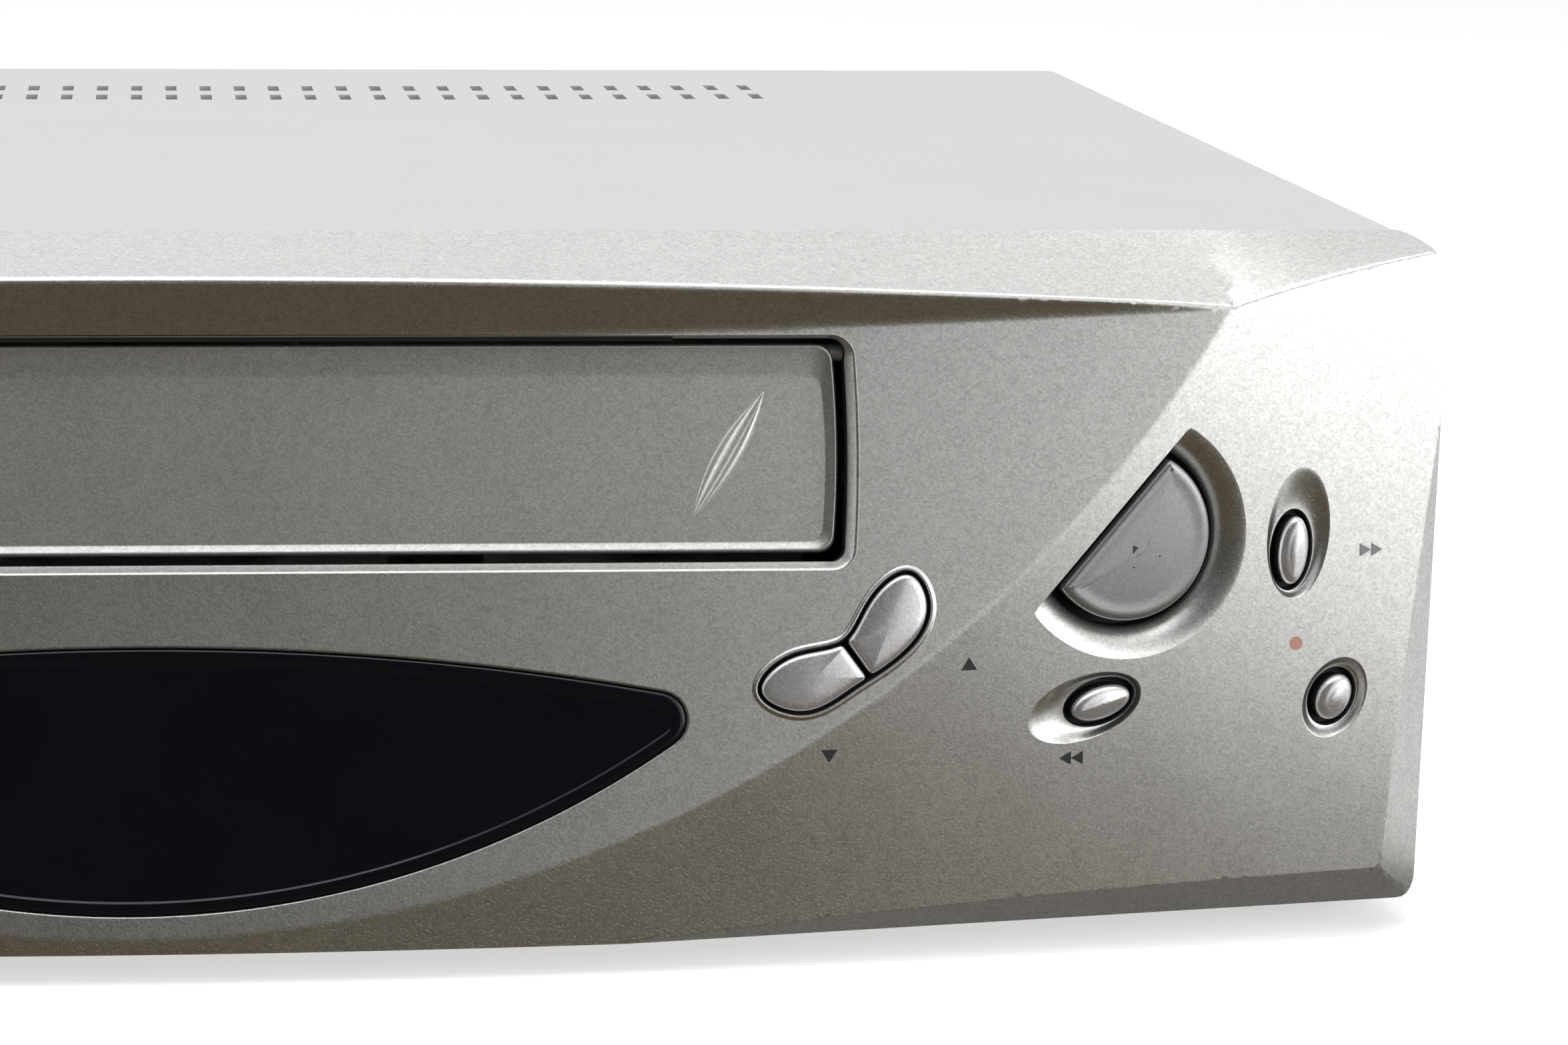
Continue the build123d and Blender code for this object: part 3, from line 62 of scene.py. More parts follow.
# ---- sizes and colours a user would change ------------------------------------------------------------
def length(name, description, millimetres):
    """A length property, stored in metres."""
    return bpy.props.FloatProperty(
        name=name, description=description, default=millimetres / 1000, unit="LENGTH", precision=5)


def colour(name, description, value):
    """A colour property without alpha."""
    return bpy.props.FloatVectorProperty(
        name=name, description=description, default=value, size=3, subtype="COLOR", min=0, max=1)


def share(name, description, value):
    """A plain factor."""
    return bpy.props.FloatProperty(
        name=name, description=description, default=value, subtype="FACTOR", min=0, max=1)


def number(name, description, value):
    """A number without a unit of length."""
    return bpy.props.FloatProperty(name=name, description=description, default=value)


class RecorderFront(bpy.types.PropertyGroup):
    """Sizes of the moulded front panel."""
    half_width_top: length("Half width at top", "Half of the front's width at its top edge", 179.93)
    half_width_bottom: length("Half width at foot", "Half of the front's width at its lower edge", 178.8)
    foot_height: length("Foot height", "Height of the front's lower edge over the floor", 4.0)
    height: length("Height", "Height of the casing's top", 97.0)
    corner_top: length("Top corner", "Radius of the outline's upper corners", 5.0)
    corner_bottom: length("Lower corner", "Radius of the outline's lower corners", 3.0)
    face_slope: number("Face slope", "Lean of the face per unit of height", 0.1975)
    face_reach: length("Face reach", "How far the face's foot stands in front of the seam", 32.79)
    ridge_radius: length("Ridge radius", "Radius of the circular ridge around the face", 174.27)
    ridge_centre: length("Ridge centre", "Height of the ridge's centre, up the face", 180.49)
    skirt_slope: number("Skirt slope", "Fall of the skirt outside the ridge", 0.22)
    brow_half: length("Brow half width", "Half of the brow's width", 149.0)
    brow_reach: length("Brow reach", "Reach of the brow's edge at the middle", 20.0)
    brow_reach_end: length("Brow reach at ends", "Reach of the brow's edge at its ends", 15.2)
    brow_z: length("Brow height", "Height of the brow's edge at the middle", 93.0)
    brow_z_end: length("Brow height at ends", "Height of the brow's edge at its ends", 88.4)
    root_z: length("Undercut root", "Height where the undercut meets the face, at the middle", 84.6)
    shell: length("Shell", "Wall thickness that the panel shows", 1.6)


class RecorderFlap(bpy.types.PropertyGroup):
    """Sizes of the cassette aperture and its flap."""
    low: length("Aperture low", "Lower edge of the aperture, up the face", 54.6)
    high: length("Aperture high", "Upper edge of the aperture, up the face", 86.2)
    half: length("Aperture half width", "Half of the aperture's width", 96.6)
    bulge: length("Side bulge", "How far the aperture's sides bulge", 0.7)
    corner: length("Aperture corner", "Radius of the aperture's corners", 2.8)
    setback: length("Flap setback", "Depth of the flap's face behind the panel's", 3.6)
    thickness: length("Flap thickness", "Thickness of the flap's plate", 1.8)
    margin_side: length("Side gap", "Gap beside the flap", 2.2)
    margin_low: length("Lower gap", "Gap under the flap", 2.4)
    margin_high: length("Upper gap", "Gap over the flap", 0.8)
    edge_width: length("Edge slope", "Width of the sloping edge beside and under the flap's face", 1.7)
    top_width: length("Top slope", "Width of the sloping band along the flap's top", 4.4)
    edge_rise: length("Edge rise", "How far the flap's edge stands over its face", 0.55)
    accent_length: length("Accent half length", "Half length of the slim raised accent", 9.9)
    accent_width: length("Accent width", "Width of the slim raised accent", 3.6)


class RecorderWindow(bpy.types.PropertyGroup):
    """Sizes of the display window."""
    top: length("Top", "Highest point, up the face", 44.65)
    top_radius: length("Top radius", "Radius of the upper edge", 395.0)
    low: length("Low", "Lowest point, up the face", 9.5)
    low_radius: length("Lower radius", "Radius of the lower edge", 127.8)
    tip: length("Tip radius", "Radius of the rounded tips", 3.6)


class RecorderKeys(bpy.types.PropertyGroup):
    """Sizes of the keys."""
    wall: length("Wall", "Panel wall that the keys pass", 2.5)
    play_x: length("Play place", "Distance of the play key from the middle", 134.6)
    play_u: length("Play height", "Height of the play key, up the face", 59.1)
    play_radius: length("Play radius", "Radius of the play key", 11.8)
    play_hole: length("Play hole", "Radius of the play key's opening", 13.0)
    play_dish: length("Play dish", "Radius of the dish around the play key", 17.0)
    play_chord: length("Play chord", "Distance of the play key's straight edge from its middle", 2.5)
    play_hole_chord: length("Hole chord", "Distance of the opening's straight edge from its middle", 3.2)
    dish_depth: length("Dish depth", "Depth of the play key's dish", 2.4)
    dimple_depth: length("Dimple depth", "Depth of the dimples around the small keys", 1.3)
    oval_gap: length("Oval gap", "Gap around the small oval keys", 1.0)
    dome: length("Dome", "Height of the small keys' domes", 1.15)


class RecorderFinish(bpy.types.PropertyGroup):
    """Colours of the finishes."""
    silver: colour("Silver paint", "Metallic paint of the front panel", (0.64, 0.64, 0.625))
    cover: colour("Cover paint", "Paint of the steel cover", (0.74, 0.76, 0.745))
    flap: colour("Flap paint", "Metallic paint of the flap", (0.53, 0.525, 0.51))
    window: colour("Window", "Dark plastic of the window", (0.004, 0.004, 0.006))
    key: colour("Small keys", "Bright paint of the small keys", (0.74, 0.73, 0.74))
    play: colour("Play key", "Paint of the large keys", (0.33, 0.335, 0.33))
    mark: colour("Marks", "Ink of the printed marks", (0.02, 0.02, 0.022))
    record: colour("Record mark", "Ink of the record mark", (0.45, 0.22, 0.18))
    flake: share("Flake", "Contrast of the flakes in the metallic paint", 0.35)


class RecorderStage(bpy.types.PropertyGroup):
    """Camera and light."""
    lens: number("Lens", "Focal length in millimetres", 107.2)
    shift_x: number("Shift X", "Sideways shift of the lens", 0.17)
    shift_y: number("Shift Y", "Upward shift of the lens", -0.12)
    sky: number("Sky", "Strength of the even light from all round", 0.36)
    softbox: number("Softbox", "Power of the overhead softbox in watts", 9.0)
    side: number("Side light", "Power of the light at the right in watts", 5.5)
    wall: colour("Wall", "Dark studio wall behind the camera", (0.03, 0.03, 0.028))
    table: colour("Table", "Brown table that the front reflects", (0.075, 0.052, 0.02))


def millimetres(group):
    """A property group's lengths in millimetres, and its other values as they are."""
    values = {}
    for name, made in group.bl_rna.properties.items():
        if name in ("rna_type", "name"):
            continue
        value = getattr(group, name)
        values[name] = value * 1000 if getattr(made, "unit", "") == "LENGTH" else value
    return SimpleNamespace(**values)


# ---- places on the front ------------------------------------------------------------------------------
BEVEL_TOP = (180.0, 74.0)
BEVEL_CORNER = (172.0, 9.6)
BEVEL_NEAR = (91.0, 6.2)
SIDE_BEVEL_DEPTH = 7.0
LOW_BEVEL_DEPTH = 5.0
PULL_TILT = radians(25)
END_SLOPE = 0.18


def columns(*values):
    """Numbers or arrays brought to one shape, with a last axis so that each can scale a vector."""
    return [part[..., None] for part in np.broadcast_arrays(*(np.asarray(value, float) for value in values))]


class Front:
    """The panel's front surface in millimetres from the seam: x to the right, y to the back, z up.

    Every point is x, a step q along `span` and a height h along `pull`, a direction that sees the face,
    the undercut, the bevels and the roof alike. u runs up the leaning face and w out of it."""

    def __init__(self, sizes):
        self.s = sizes
        lean = atan(sizes.face_slope)
        self.up = np.array([0, sin(lean), cos(lean)])
        self.out = np.array([0, -cos(lean), sin(lean)])
        self.foot = np.array([0, -sizes.face_reach, 0.0])
        self.pull = np.array([0, -cos(PULL_TILT), sin(PULL_TILT)])
        self.span = np.array([0, sin(PULL_TILT), cos(PULL_TILT)])
        self.lean_z = sizes.brow_z - sizes.root_z
        self.lean_y = sizes.brow_reach - (sizes.face_reach - sizes.face_slope * sizes.root_z)
        self.cos_lean = cos(lean)
        top, corner, near = (self.skirt_point(*place) for place in (BEVEL_TOP, BEVEL_CORNER, BEVEL_NEAR))
        outer = np.array([sizes.half_width_bottom, corner[1] + SIDE_BEVEL_DEPTH, corner[2]])
        under = np.array([corner[0], corner[1] + LOW_BEVEL_DEPTH, sizes.foot_height])
        self.bevels = [self.bevel(top, corner, outer, [1, 0, 0]), self.bevel(corner, near, under, [0, 0, -1])]

    def drop(self, x, u):
        """How far the skirt lies behind the leaning face: its slope times the distance outside the ridge."""
        run = np.hypot(x, self.s.ridge_centre - u)
        return self.s.skirt_slope * np.maximum(0, run - self.s.ridge_radius)

    def on_face(self, x, u, w):
        """The point at (x, u, w) of the face."""
        x, u, w = columns(x, u, w)
        return self.foot + x * [1, 0, 0] + u * self.up + w * self.out

    def skirt_point(self, x, z):
        """The point of the skirt at (x, z)."""
        y = -self.s.face_reach + self.s.face_slope * z + self.drop(x, z / self.cos_lean)
        return np.array([x, y, z])

    def bevel(self, first, second, third, facing):
        """A bevel's plane through three points, as the normal that looks a given way and the level."""
        normal = np.cross(second - first, third - first)
        normal *= np.sign(normal @ facing) / np.linalg.norm(normal)
        return normal, normal @ first

    def plane(self, x, q, normal, level):
        """Height at which the line through (x, q) meets a plane."""
        return (level - x * normal[0] - q * (normal @ self.span)) / (normal @ self.pull)

    def skirt(self, x, q):
        """Height of the conical skirt, by a few Newton steps on w + slope (run - radius) = 0."""
        up_q, up_h, up_0 = self.span @ self.up, self.pull @ self.up, self.foot @ self.up
        out_q, out_h, out_0 = self.span @ self.out, self.pull @ self.out, self.foot @ self.out
        h = (out_0 - q * out_q) / out_h
        for _ in range(5):
            u, w = q * up_q + h * up_h - up_0, q * out_q + h * out_h - out_0
            run = np.hypot(x, self.s.ridge_centre - u)
            miss = w + self.s.skirt_slope * (run - self.s.ridge_radius)
            h = h - miss / (out_h - self.s.skirt_slope * (self.s.ridge_centre - u) / run * up_h)
        return h

    def brow_share(self, x):
        """Square of the way from the middle to the brow's end."""
        return (np.minimum(np.abs(x) / self.s.brow_half, 1)) ** 2

    def brow_edge(self, x):
        """Reach and height of the brow's edge."""
        part = self.brow_share(x)
        reach = self.s.brow_reach + (self.s.brow_reach_end - self.s.brow_reach) * part
        return reach, self.s.brow_z + (self.s.brow_z_end - self.s.brow_z) * part

    def brow(self, x, q):
        """Height of the undercut under the brow, a plane along its edge that keeps its lean."""
        reach, edge_z = self.brow_edge(x)
        normal = np.array([0, -self.lean_z, -self.lean_y]) / np.hypot(self.lean_z, self.lean_y)
        level = -normal[1] * reach + normal[2] * edge_z
        height = (level - q * (normal @ self.span)) / (normal @ self.pull)
        return np.where(np.abs(x) <= self.s.brow_half, height, -1e3)

    def roof(self, x, q):
        """Height of the roof, which falls forward with a slope that changes along the brow."""
        reach, edge_z = self.brow_edge(x)
        slope = (self.s.height - edge_z) / reach
        past = np.clip((np.abs(x) - self.s.brow_half) / (181.0 - self.s.brow_half), 0, 1)
        slope = slope + (END_SLOPE - slope) * past
        normal_q, normal_h = -slope * self.span[1] + self.span[2], -slope * self.pull[1] + self.pull[2]
        return (self.s.height - q * normal_q) / normal_h

    def front(self, x, q):
        """Height of the face, the skirt and the brow before the roof and bevels cut them."""
        face = self.plane(x, q, self.out, self.out @ self.foot)
        front = soft_min(face, self.skirt(x, q), 0.10)
        return -soft_min(-front, -self.brow(x, q), 0.8)

    def height(self, x, q):
        """Height of the finished surface: the softened smallest of front, roof and bevels."""
        far = np.abs(x)
        edge = 0.7 + 1.5 * (1 - self.brow_share(x))
        height = soft_min(self.front(far, q), self.roof(far, q), edge)
        for normal, level in self.bevels:
            height = soft_min(height, self.plane(far, q, normal, level), 0.12)
        return height

    def point(self, x, q):
        """The surface point at (x, q)."""
        x, q, h = columns(x, q, self.height(x, q))
        return x * [1, 0, 0] + q * self.span + h * self.pull

    def normal(self, x, q):
        """The outward normal at (x, q), from differences of the height."""
        step = 0.02
        by_x = (self.height(x + step, q) - self.height(x - step, q)) / (2 * step)
        by_q = (self.height(x, q + step) - self.height(x, q - step)) / (2 * step)
        normal = self.pull - by_x[..., None] * [1, 0, 0] - by_q[..., None] * self.span
        return normal / np.linalg.norm(normal, axis=-1, keepdims=True)

    def seat(self, x, u):
        """A plane on the surface at (x, u): its origin, level direction, upward direction and normal."""
        run = np.hypot(x, self.s.ridge_centre - u)
        origin = self.on_face(x, u, -self.drop(x, u))
        out = self.out
        if run > self.s.ridge_radius:
            away = np.array([1.0, 0, 0]) * (x / run) + self.up * ((u - self.s.ridge_centre) / run)
            slope = atan(self.s.skirt_slope)
            out = self.out * cos(slope) + away * sin(slope)
        level = np.cross([0, 0, 1.0], out)
        level /= np.linalg.norm(level)
        return origin, level, np.cross(out, level), out

    def place(self, x, u, turn=0.0):
        """A function that takes (a, b, c) on the seat at (x, u), turned by some degrees, to points."""
        origin, level, rise, out = self.seat(x, u)
        c, s = cos(radians(turn)), sin(radians(turn))
        along, across = level * c + rise * s, rise * c - level * s

        def placed(a, b, depth):
            a, b, depth = columns(a, b, depth)
            return origin + a * along + b * across + depth * out

        return placed

    def step_of(self, points):
        """The (x, q) of points."""
        return np.stack([points[..., 0], points @ self.span], axis=-1)


def crossing(low, high, count, passed):
    """The values between low and high where a rising test turns true, by halving."""
    low, high = np.full(count, float(low)), np.full(count, float(high))
    for _ in range(45):
        middle = (low + high) / 2
        past = passed(middle)
        low, high = np.where(past, low, middle), np.where(past, middle, high)
    return (low + high) / 2


def soft_min(a, b, width):
    """The smaller of two heights, rounded where they come within a width of each other."""
    near = np.maximum(width - np.abs(a - b), 0)
    return np.minimum(a, b) - near**2 / (4 * width)


# ---- closed outlines ----------------------------------------------------------------------------------
LOOP_STEP = 1.2


def smooth_loop(points, count):
    """A closed curve through a few points: a periodic cubic in the chord length, as many samples as asked."""
    points = np.asarray(points, float)
    number = len(points)
    ahead = np.roll(points, -1, axis=0)
    chord = np.linalg.norm(ahead - points, axis=1)
    back = np.roll(chord, 1)
    system = np.zeros((number, number))
    rows = np.arange(number)
    system[rows, rows] = 2 * (back + chord)
    system[rows, (rows + 1) % number] += chord
    system[rows, (rows - 1) % number] += back
    slope = (ahead - points) / chord[:, None]
    bend = np.linalg.solve(system, 6 * (slope - np.roll(slope, 1, axis=0)))
    ends = np.concatenate([[0], np.cumsum(chord)])
    at = np.linspace(0, ends[-1], count, endpoint=False)
    span = np.clip(np.searchsorted(ends, at, side="right") - 1, 0, number - 1)
    t, size = (at - ends[span])[:, None], chord[span][:, None]
    here, there = points[span], ahead[span]
    bend_here, bend_there = bend[span], np.roll(bend, -1, axis=0)[span]
    return (bend_here * (size - t) ** 3 / (6 * size) + bend_there * t**3 / (6 * size)
            + (here / size - bend_here * size / 6) * (size - t) + (there / size - bend_there * size / 6) * t)


def even_loop(loop, count):
    """The same closed outline with evenly spaced samples."""
    closed = np.vstack([loop, loop[:1]])
    reach = np.concatenate([[0], np.cumsum(np.linalg.norm(np.diff(closed, axis=0), axis=1))])
    at = np.linspace(0, reach[-1], count, endpoint=False)
    return np.stack([np.interp(at, reach, closed[:, 0]), np.interp(at, reach, closed[:, 1])], axis=1)


def rounded_loop(corners, radii, step):
    """A closed polygon, counter-clockwise, with rounded convex corners and samples about a step apart."""
    corners = np.asarray(corners, float)
    parts = []
    for index, radius in enumerate(radii):
        here, last, following = corners[index], corners[index - 1], corners[(index + 1) % len(corners)]
        a, b = ((end - here) / np.linalg.norm(end - here) for end in (last, following))
        half = np.arccos(np.clip(a @ b, -1, 1)) / 2
        reach = radius / np.tan(half)
        middle = here + (a + b) / np.linalg.norm(a + b) * radius / np.sin(half)
        start, end = here + a * reach, here + b * reach
        first = np.arctan2(*(start - middle)[::-1])
        turn = (np.arctan2(*(end - middle)[::-1]) - first) % (2 * pi)
        angle = first + turn * np.linspace(0, 1, max(6, int(radius * turn / step * 2) + 2))
        parts.append((middle + radius * np.stack([np.cos(angle), np.sin(angle)], axis=1), end))
    loop = []
    for index, (arc, end) in enumerate(parts):
        loop.append(arc)
        goal = parts[(index + 1) % len(parts)][0][0]
        count = max(2, int(np.linalg.norm(goal - end) / step) + 1)
        loop.append(end + (goal - end) * np.linspace(0, 1, count + 1)[1:-1, None])
    return np.vstack(loop)


def outward(loop):
    """The outward normal at each sample of a counter-clockwise outline."""
    along = np.roll(loop, -1, axis=0) - np.roll(loop, 1, axis=0)
    along /= np.linalg.norm(along, axis=1, keepdims=True)
    return np.stack([along[:, 1], -along[:, 0]], axis=1)


def softened(loop, reach):
    """A closed outline with each sample averaged over its neighbours up to a reach."""
    window = np.ones(2 * reach + 1) / (2 * reach + 1)
    wrapped = np.vstack([loop[-reach:], loop, loop[:reach]])
    return np.stack([np.convolve(wrapped[:, i], window, mode="valid") for i in (0, 1)], axis=1)


def oval_loop(half_x, half_y, count=64):
    """An ellipse."""
    angle = np.linspace(0, 2 * pi, count, endpoint=False)
    return np.stack([half_x * np.cos(angle), half_y * np.sin(angle)], axis=1)


def aperture_loop(f, radius, inset=0, low=0, high=0, side=0):
    """The aperture's outline pulled in by an inset and margins; its sides bulge as a parabola."""
    u_low, u_high = f.low + inset + low, f.high - inset - high
    half = f.half - inset - side
    corners = [(-half, u_low), (half, u_low), (half, u_high), (-half, u_high)]
    loop = rounded_loop(corners, [radius] * 4, LOOP_STEP)
    middle, reach = (u_low + u_high) / 2, (u_high - u_low) / 2
    arch = np.clip(1 - ((loop[:, 1] - middle) / reach) ** 2, 0, 1)
    loop[:, 0] *= 1 + f.bulge / half * arch * (np.abs(loop[:, 0]) / half) ** 6
    return loop


def window_loop(w, grow=0.0):
    """The window: two arcs joined by tip arcs that touch both from inside."""
    top_mid, low_mid = np.array([0, w.top - w.top_radius]), np.array([0, w.low + w.low_radius])
    a, b, gap = w.top_radius - w.tip, w.low_radius - w.tip, low_mid[1] - top_mid[1]
    tip_y = (a**2 - b**2 + gap**2) / (2 * gap)
    tip = np.array([np.sqrt(a**2 - tip_y**2), top_mid[1] + tip_y])
    top_angle = np.arctan2(tip[1] - top_mid[1], tip[0])
    low_angle = np.arctan2(tip[1] - low_mid[1], tip[0])

    def arc(middle, radius, first, last):
        count = max(8, int(abs(last - first) * radius / LOOP_STEP))
        angle = np.linspace(first, last, count, endpoint=False)
        return middle + (radius + grow) * np.stack([np.cos(angle), np.sin(angle)], axis=1)

    low_arc = arc(low_mid, w.low_radius, -pi - low_angle, low_angle)
    right = arc(tip, w.tip, low_angle, top_angle)
    top_arc = arc(top_mid, w.top_radius, top_angle, pi - top_angle)
    left = arc(tip * [-1, 1], w.tip, pi - top_angle, pi - low_angle)
    return np.vstack([low_arc, right, top_arc, left])


def d_loop(radius, chord, heading, corner=0.8, count=120):
    """A disc cut by a chord, with rounded ends, counter-clockwise; the chord faces along the heading."""
    reach = np.arccos(np.clip(chord / radius, -1, 1))
    arc = np.linspace(reach, 2 * pi - reach, 80)
    curve = np.stack([radius * np.cos(arc), radius * np.sin(arc)], axis=1)
    chord_line = curve[-1] + (curve[0] - curve[-1]) * np.linspace(0, 1, 26)[1:-1, None]
    loop = even_loop(np.vstack([curve, chord_line]), 720)
    width = max(1, int(corner / (np.linalg.norm(loop[1] - loop[0]))))
    soft = softened(loop, width)[:: 720 // count]
    c, s = np.cos(heading), np.sin(heading)
    return soft @ np.array([[c, s], [-s, c]])


# ---- meshes -------------------------------------------------------------------------------------------
MERGE = 0.004


class Shape:
    """Grids, rings and triangles gathered into one mesh, in millimetres from the seam."""

    def __init__(self):
        self.points, self.faces, self.count = [], [], 0

    def add(self, points):
        """Adds points and gives the number of the first."""
        points = np.asarray(points, float).reshape(-1, 3)
        first = self.count
        self.points.append(points)
        self.count += len(points)
        return first

    def keep(self, faces, flip, tone):
        """Keeps faces, turned over if asked, with the number of their material."""
        self.faces.append((faces[:, ::-1] if flip else faces, np.full(len(faces), tone)))

    def grid(self, points, closed=True, flip=False, tone=0):
        """A grid of rows and columns; the columns may close on themselves."""
        rows, columns = points.shape[:2]
        first = self.add(points)
        i, j = np.meshgrid(np.arange(rows - 1), np.arange(columns if closed else columns - 1), indexing="ij")
        nxt = (j + 1) % columns
        low, high = i * columns, (i + 1) * columns
        quads = np.stack([low + j, low + nxt, high + nxt, high + j], axis=-1)
        self.keep(quads.reshape(-1, 4) + first, flip, tone)

    def fan(self, ring, flip=False, tone=0):
        """Closes a ring with triangles to its middle."""
        number = len(ring)
        first = self.add(np.vstack([ring, ring.mean(axis=0, keepdims=True)]))
        j = np.arange(number)
        self.keep(np.stack([j, (j + 1) % number, np.full(number, number)], axis=1) + first, flip, tone)

    def facets(self, points, triangles):
        """Free triangles."""
        first = self.add(points)
        self.keep(np.asarray(triangles) + first, False, 0)

    def merged(self):
        """The points with those of one cell made one, and the new number of each."""
        points = np.vstack(self.points)
        key = np.round(points / MERGE).astype(np.int64)
        _, kept, where = np.unique(key, axis=0, return_index=True, return_inverse=True)
        return points[kept], where.reshape(-1)

    def mesh(self, name, sharp=35.0):
        """A mesh in the frame's metres, with edges over an angle in degrees sharp."""
        points, where = self.merged()
        placed = points * 0.001 + [0, SEAM_Y, 0]
        lists, tones = [], []
        for faces, marks in self.faces:
            for face, tone in zip(where[faces].tolist(), marks.tolist()):
                face = list(dict.fromkeys(face))
                if len(face) > 2:
                    lists.append(face)
                    tones.append(tone)
        mesh = bpy.data.meshes.new(name)
        mesh.from_pydata(placed.tolist(), [], lists)
        mesh.polygons.foreach_set("material_index", tones)
        mesh.validate()
        mesh.shade_smooth()
        mesh.set_sharp_from_angle(angle=radians(sharp))
        return mesh


def finish_piece(name, mesh, body, slot, paints, *replaced):
    """Links a mesh as a piece that rides on a body and may stand for CAD nodes.

    With all the finishes given, the mesh's second tone is the near-black inner moulding: partly the dark
    plastic behind the front, partly painted shade that keeps gaps and walls black."""
    piece = bpy.data.objects.new(name, mesh)
    bpy.context.scene.collection.objects.link(piece)
    mesh.materials.append(paints[slot] if isinstance(paints, dict) else paints)
    if isinstance(paints, dict):
        # second material: near-black inner moulding, partly painted shade in gaps, walls and flanges
        mesh.materials.append(paints["inner_black"])
    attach(piece, body)
    if replaced:
        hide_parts(*replaced)
    return piece


def rings(loop, profile, placed, top_share=1.0):
    """Rows of a rim: for each (inset, depth) of a profile the outline moved in by the inset, at that depth.

    Where the outline faces up, only a share of the inset is used."""
    normal = outward(loop)
    part = 1 - (1 - top_share) * np.clip(normal[:, 1:], 0, 1)
    rows = []
    for inset, depth in profile:
        moved = loop - normal * inset * part
        rows.append(placed(moved[:, 0], moved[:, 1], depth))
    return np.stack(rows)


def inside(points, loop):
    """Which points lie inside a closed outline, by counting crossings of a level line."""
    x, y = points[:, 0], points[:, 1]
    hit = np.zeros(len(points), bool)
    ahead = np.roll(loop, -1, axis=0)
    for (x0, y0), (x1, y1) in zip(loop, ahead):
        if y0 != y1:
            crosses = (y0 > y) != (y1 > y)
            hit ^= crosses & (x < (x1 - x0) * (y - y0) / (y1 - y0) + x0)
    return hit


def spread(sets, cell):
    """Points of several sets, each kept only where no earlier one took its cell."""
    points = np.vstack(sets)
    _, first = np.unique(np.round(points / cell).astype(np.int64), axis=0, return_index=True)
    return points[np.sort(first)]


# ---- shader sums --------------------------------------------------------------------------------------
class Wire:
    """A number that a node gives, which can be added, subtracted, multiplied, divided and raised."""

    def __init__(self, nodes, socket):
        self.nodes, self.socket = nodes, socket

    def sum(self, operation, first, second):
        return self.nodes.node("ShaderNodeMath", {"operation": operation}, {0: first, 1: second})

    def __add__(self, other):
        return self.sum("ADD", self, other)

    def __radd__(self, other):
        return self.sum("ADD", other, self)

    def __sub__(self, other):
        return self.sum("SUBTRACT", self, other)

    def __rsub__(self, other):
        return self.sum("SUBTRACT", other, self)

    def __mul__(self, other):
        return self.sum("MULTIPLY", self, other)

    def __rmul__(self, other):
        return self.sum("MULTIPLY", other, self)

    def __truediv__(self, other):
        return self.sum("DIVIDE", self, other)

    def __pow__(self, other):
        return self.sum("POWER", self, other)

    def __gt__(self, other):
        return self.sum("GREATER_THAN", self, other)


class Nodes:
    """The node tree of a material or world."""

    def __init__(self, owner):
        owner.use_nodes = True
        self.tree = owner.node_tree
        self.tree.nodes.clear()

    def node(self, kind, settings=None, sockets=None, output=0):
        """Any node: its settings first, then the values or links of its sockets; gives one output."""
        made = self.tree.nodes.new(kind)
        for name, value in (settings or {}).items():
            if name == "stops":
                ramp = made.color_ramp
                while len(ramp.elements) < len(value):
                    ramp.elements.new(0.5)
                for element, (position, tone) in zip(ramp.elements, value):
                    element.position, element.color = position, (*tone, 1)
            else:
                setattr(made, name, value)
        for name, value in (sockets or {}).items():
            if isinstance(value, Wire):
                self.tree.links.new(value.socket, made.inputs[name])
            else:
                made.inputs[name].default_value = value
        return None if output is None else Wire(self, made.outputs[output])

    def end(self, kind, shader):
        """Ends the tree in a shader."""
        self.node(kind, {}, {"Surface": shader}, output=None)


class Finish(Nodes):
    """A material made of nodes, with one shader at its end."""

    def __init__(self, name):
        self.material = bpy.data.materials.new(name)
        super().__init__(self.material)
        self.place = self.node("ShaderNodeTexCoord", output="Object")

    def noise(self, size, detail=2.0, rough=0.5, stretch=(1, 1, 1)):
        """Noise with features of about a size in metres, drawn out along the axes by the stretch."""
        scale = [1 / (size * s) for s in stretch]
        where = self.node("ShaderNodeMapping", {}, {"Vector": self.place, "Scale": scale})
        values = {"Vector": where, "Scale": 1.0, "Detail": detail, "Roughness": rough}
        return self.node("ShaderNodeTexNoise", {}, values)

    def cells(self, size):
        """A random number for each cell of about a size in metres."""
        where = self.node("ShaderNodeMapping", {}, {"Vector": self.place, "Scale": [1 / size] * 3})
        tone = self.node("ShaderNodeTexVoronoi", {}, {"Vector": where, "Scale": 1.0}, output="Color")
        return self.red(tone)

    def red(self, tone):
        """The red part of a colour."""
        return self.node("ShaderNodeSeparateColor", {}, {"Color": tone})

    def bands(self, axis, scale, distortion, detail):
        """Bands across an axis, from 0 to 1."""
        values = {"Vector": self.place, "Scale": scale, "Distortion": distortion, "Detail": detail}
        return self.red(self.node("ShaderNodeTexWave", {"bands_direction": axis}, values))

    def mix(self, factor, dark, light):
        """A colour between two."""
        dark, light = (tone if isinstance(tone, Wire) else (*tone, 1) for tone in (dark, light))
        settings = {"data_type": "RGBA", "clamp_factor": True}
        return self.node("ShaderNodeMix", settings, {0: factor, 6: dark, 7: light}, output=2)

    def bump(self, height, distance, strength=1.0):
        """A normal from a height."""
        values = {"Height": height, "Distance": distance, "Strength": strength}
        return self.node("ShaderNodeBump", {}, values, output="Normal")

    def close(self, **sockets):
        """The shader and the material's output; names with underscores stand for the sockets' names."""
        values = {name.replace("_", " "): value for name, value in sockets.items()}
        for name in ("Base Color", "Emission Color"):
            if name in values and not isinstance(values[name], Wire):
                values[name] = (*values[name], 1)
        self.end("ShaderNodeOutputMaterial", self.node("ShaderNodeBsdfPrincipled", {}, values, output="BSDF"))
        return self.material


def tinted(tone, factor):
    """A colour made lighter or darker by a factor."""
    return tuple(min(1.0, part * factor) for part in tone)


